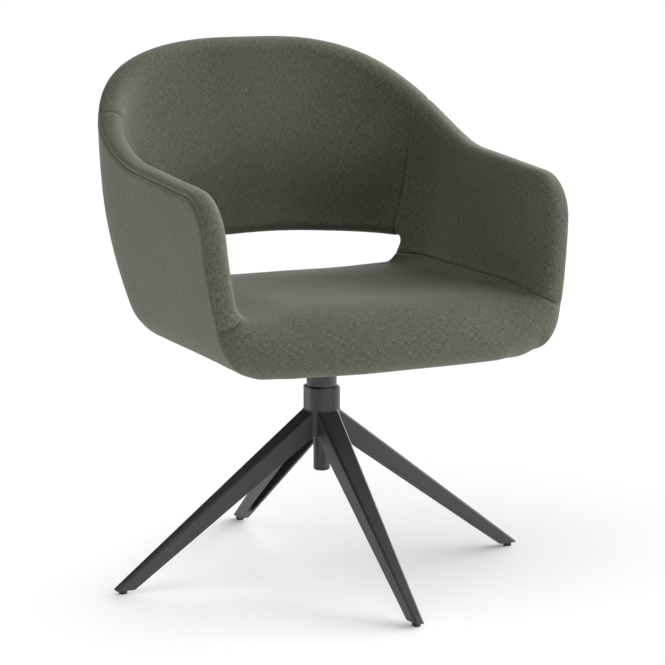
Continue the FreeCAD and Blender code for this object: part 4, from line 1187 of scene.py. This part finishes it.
def apron_grid(ribs):
    """The seat front in lines from the underside up over the roll."""
    end = crease_base(CREASE_FRONT)
    cross = ribs[-1][2]
    grid = []
    for edge, start, tip, top in ribs:
        lifted = hollowed(top, end, hollow(CREASE_FRONT))[0]
        line = [edge, edge.lerp(start, 0.5)]
        line += quarter(Vector((tip.x, start.y, tip.z)), start, tip, range(0, 90, ROUND_STEP))
        below_tip = len(line)
        line += quarter(Vector((tip.x, lifted.y, tip.z)), tip, lifted, range(0, 91, ROUND_STEP))
        sewn = start.z > SHELL_BOTTOM + PROBE
        sideways = max(0.0, (tip.x - STRAIGHT_HALF) / (cross.x - STRAIGHT_HALF))
        run = 0.0
        row = []
        for number, point in enumerate(line):
            if number:
                run += (point - line[number - 1]).length
            cloth = (point.x, point.z + point.y)
            if number < below_tip:
                back = point.y - tip.y
                cloth = (point.x + sideways * back, point.z + tip.y - (1 - sideways) * back)
            row.append((point, cloth, min((cross - tip).length, run if sewn else NO_SEAM)))
        grid.append(row)
    return grid


def rear_place(share):
    """Place along the rear edge of the seat, from the middle to the right."""
    return BACK_MIDDLE + share * (SEAM_PLACE - REAR_GAP - BACK_MIDDLE)


def rear_edge(across, corner_level):
    """The rear edge of the seat below the opening, which lifts to the arm at its corner."""
    points = []
    for share in across:
        place = rear_place(share)
        point = wall(place, OPENING_BOTTOM, ROLL_INNER)
        outward = max(0.0, BACK_MIDDLE - place - REAR_LEVEL_HALF) / (BACK_WIDTH / 2 - REAR_LEVEL_HALF)
        corner = max(0.0, 1 - (place - SEAM_PLACE + REAR_GAP) / REAR_CORNER)
        level = OPENING_BOTTOM + REAR_LIFT * outward ** 2
        point.z = level + (corner_level - level) * corner ** 2
        points.append(point)
    return points


def seat_top(front):
    """The seat's top from the line along its front to its rear edge, and the shares across it."""
    across = shares_of(front)
    length = SEAM_PLACE - CREASE_FRONT
    up = steps(length, FACE_SPACING, False, False)
    side = [crease_base(CREASE_FRONT + share * (length - REAR_GAP)) for share in up]
    back = rear_edge(across, side[-1].z)
    middle = []
    for share in up:
        along = front[0].y + share * (back[0].y - front[0].y)
        middle.append(Vector((0.0, along, seat_level(0.0, along))))
    rest = middle[-1].z - OPENING_BOTTOM
    for share, point in zip(up, middle):
        point.z -= rest * share ** 2
    back[0], back[-1] = middle[-1], side[-1]
    grid = []
    for share, line in zip(up, spanned(front, back, middle, side, across, up)):
        radius = hollow(CREASE_FRONT + share * length)
        row = []
        for point in line:
            lifted, away = hollowed(point, line[-1], radius)
            row.append((lifted, (lifted.x, lifted.y + lifted.z), away))
        grid.append(row)
    return grid, across


def rear_roll(seat_edge, across):
    """The rolled edge from the rear of the seat over to the seam behind."""
    seam_level = OPENING_BOTTOM - SEAM_INSET
    grid = []
    for share, (point, cloth, away) in zip(across, seat_edge):
        line = [(point, cloth, NO_SEAM)]
        for turn in REAR_TURNS:
            angle = math.radians(turn)
            level = seam_level + (point.z - seam_level) * math.cos(angle)
            spot = wall(rear_place(share), level, ROLL_INNER * (1 - math.sin(angle)))
            if share == 0:
                spot.x = 0.0
            line.append((spot, (cloth[0], cloth[1] + REAR_CLOTH * turn / 90), level - seam_level))
        grid.append(line)
    return grid


front_ribs = seat_ribs()
top_grid, seat_shares = seat_top([top for edge, start, tip, top in front_ribs])
right_half = [top_grid, apron_grid(front_ribs), rear_roll(top_grid[-1], seat_shares)]
seat_cover = sewn_cover("seat_cover", right_half + mirrored(right_half), (0, 0, 1))
upholstered(seat_cover, "seat_pad", "rear_roll")

# Studio
# White floor that runs on to a bright horizon and glows a little where the chair's shadow falls.
# Broad low light from the right, a weaker high light from the left, camera at the photograph's angle.
FLOOR_REACH = 400
GLOW_START = 0.10
GLOW_FULL = -0.50
GLOW_LOW = 0.05
GLOW_HIGH = 0.30
HORIZON_TOP = math.sin(math.radians(7))
SKY_BOTTOM = math.sin(math.radians(10))
HORIZON_LIGHT = 0.95
SKY_LIGHT = 0.04
WHITE = (1.0, 1.0, 1.0, 1.0)

floor_mesh = bpy.data.meshes.new("floor")
corners = [(x * FLOOR_REACH, y * FLOOR_REACH, 0) for x, y in ((-1, -1), (1, -1), (1, 1), (-1, 1))]
floor_mesh.from_pydata(corners, [], [(0, 1, 2, 3)])
floor = placed("floor", floor_mesh)
pale, pale_tree, pale_surface = shader("pale_floor")
pale_surface.inputs["Base Color"].default_value = (0.82, 0.82, 0.82, 1.0)
pale_surface.inputs["Roughness"].default_value = 0.9
pale_surface.inputs["Emission Color"].default_value = WHITE
floor_place = pale_tree.nodes.new("ShaderNodeSeparateXYZ")
pale_tree.links.new(object_space(pale_tree), floor_place.inputs["Vector"])
glow = map_range(pale_tree, floor_place.outputs["X"], GLOW_START, GLOW_FULL, GLOW_LOW, GLOW_HIGH)
pale_tree.links.new(glow, pale_surface.inputs["Emission Strength"])
floor_mesh.materials.append(pale)

world = bpy.data.worlds.new("studio")
bpy.context.scene.world = world
world.use_nodes = True
air = world.node_tree
background = air.nodes["Background"]
background.inputs["Color"].default_value = WHITE
direction = air.nodes.new("ShaderNodeSeparateXYZ")
air.links.new(air.nodes.new("ShaderNodeTexCoord").outputs["Generated"], direction.inputs["Vector"])
brightness = map_range(air, direction.outputs["Z"], HORIZON_TOP, SKY_BOTTOM, HORIZON_LIGHT, SKY_LIGHT)
air.links.new(brightness, background.inputs["Strength"])


def broad_light(name, azimuth, elevation, strength):
    """A wide light far away, in a direction given in degrees: azimuth 0 is in front, 90 on the right."""
    light = bpy.data.lights.new(name, "SUN")
    light.angle = math.radians(60)
    light.energy = strength
    lamp = placed(name, light)
    lamp.rotation_mode = "XYZ"
    lamp.rotation_euler = (math.radians(90 - elevation), 0.0, math.radians(azimuth))


broad_light("right_front", 45, 14, 1.45)
broad_light("right", 90, 14, 3.7)
broad_light("right_rear", 135, 14, 2.5)
broad_light("right_high", 95, 44, 0.6)
broad_light("left_high", 290, 65, 1.05)

LOOK_AT = Vector((0.0, 0.0, 0.371))
lens = bpy.data.cameras.new("camera")
lens.sensor_width = 36.0
lens.lens = 136.9
lens.shift_x = 0.0163
camera = placed("camera", lens)
camera.location = (-1.569, -3.433, 1.079)
camera.rotation_mode = "QUATERNION"
camera.rotation_quaternion = (LOOK_AT - camera.location).to_track_quat("-Z", "Y")
bpy.context.scene.camera = camera
bpy.context.scene.view_settings.view_transform = "Standard"
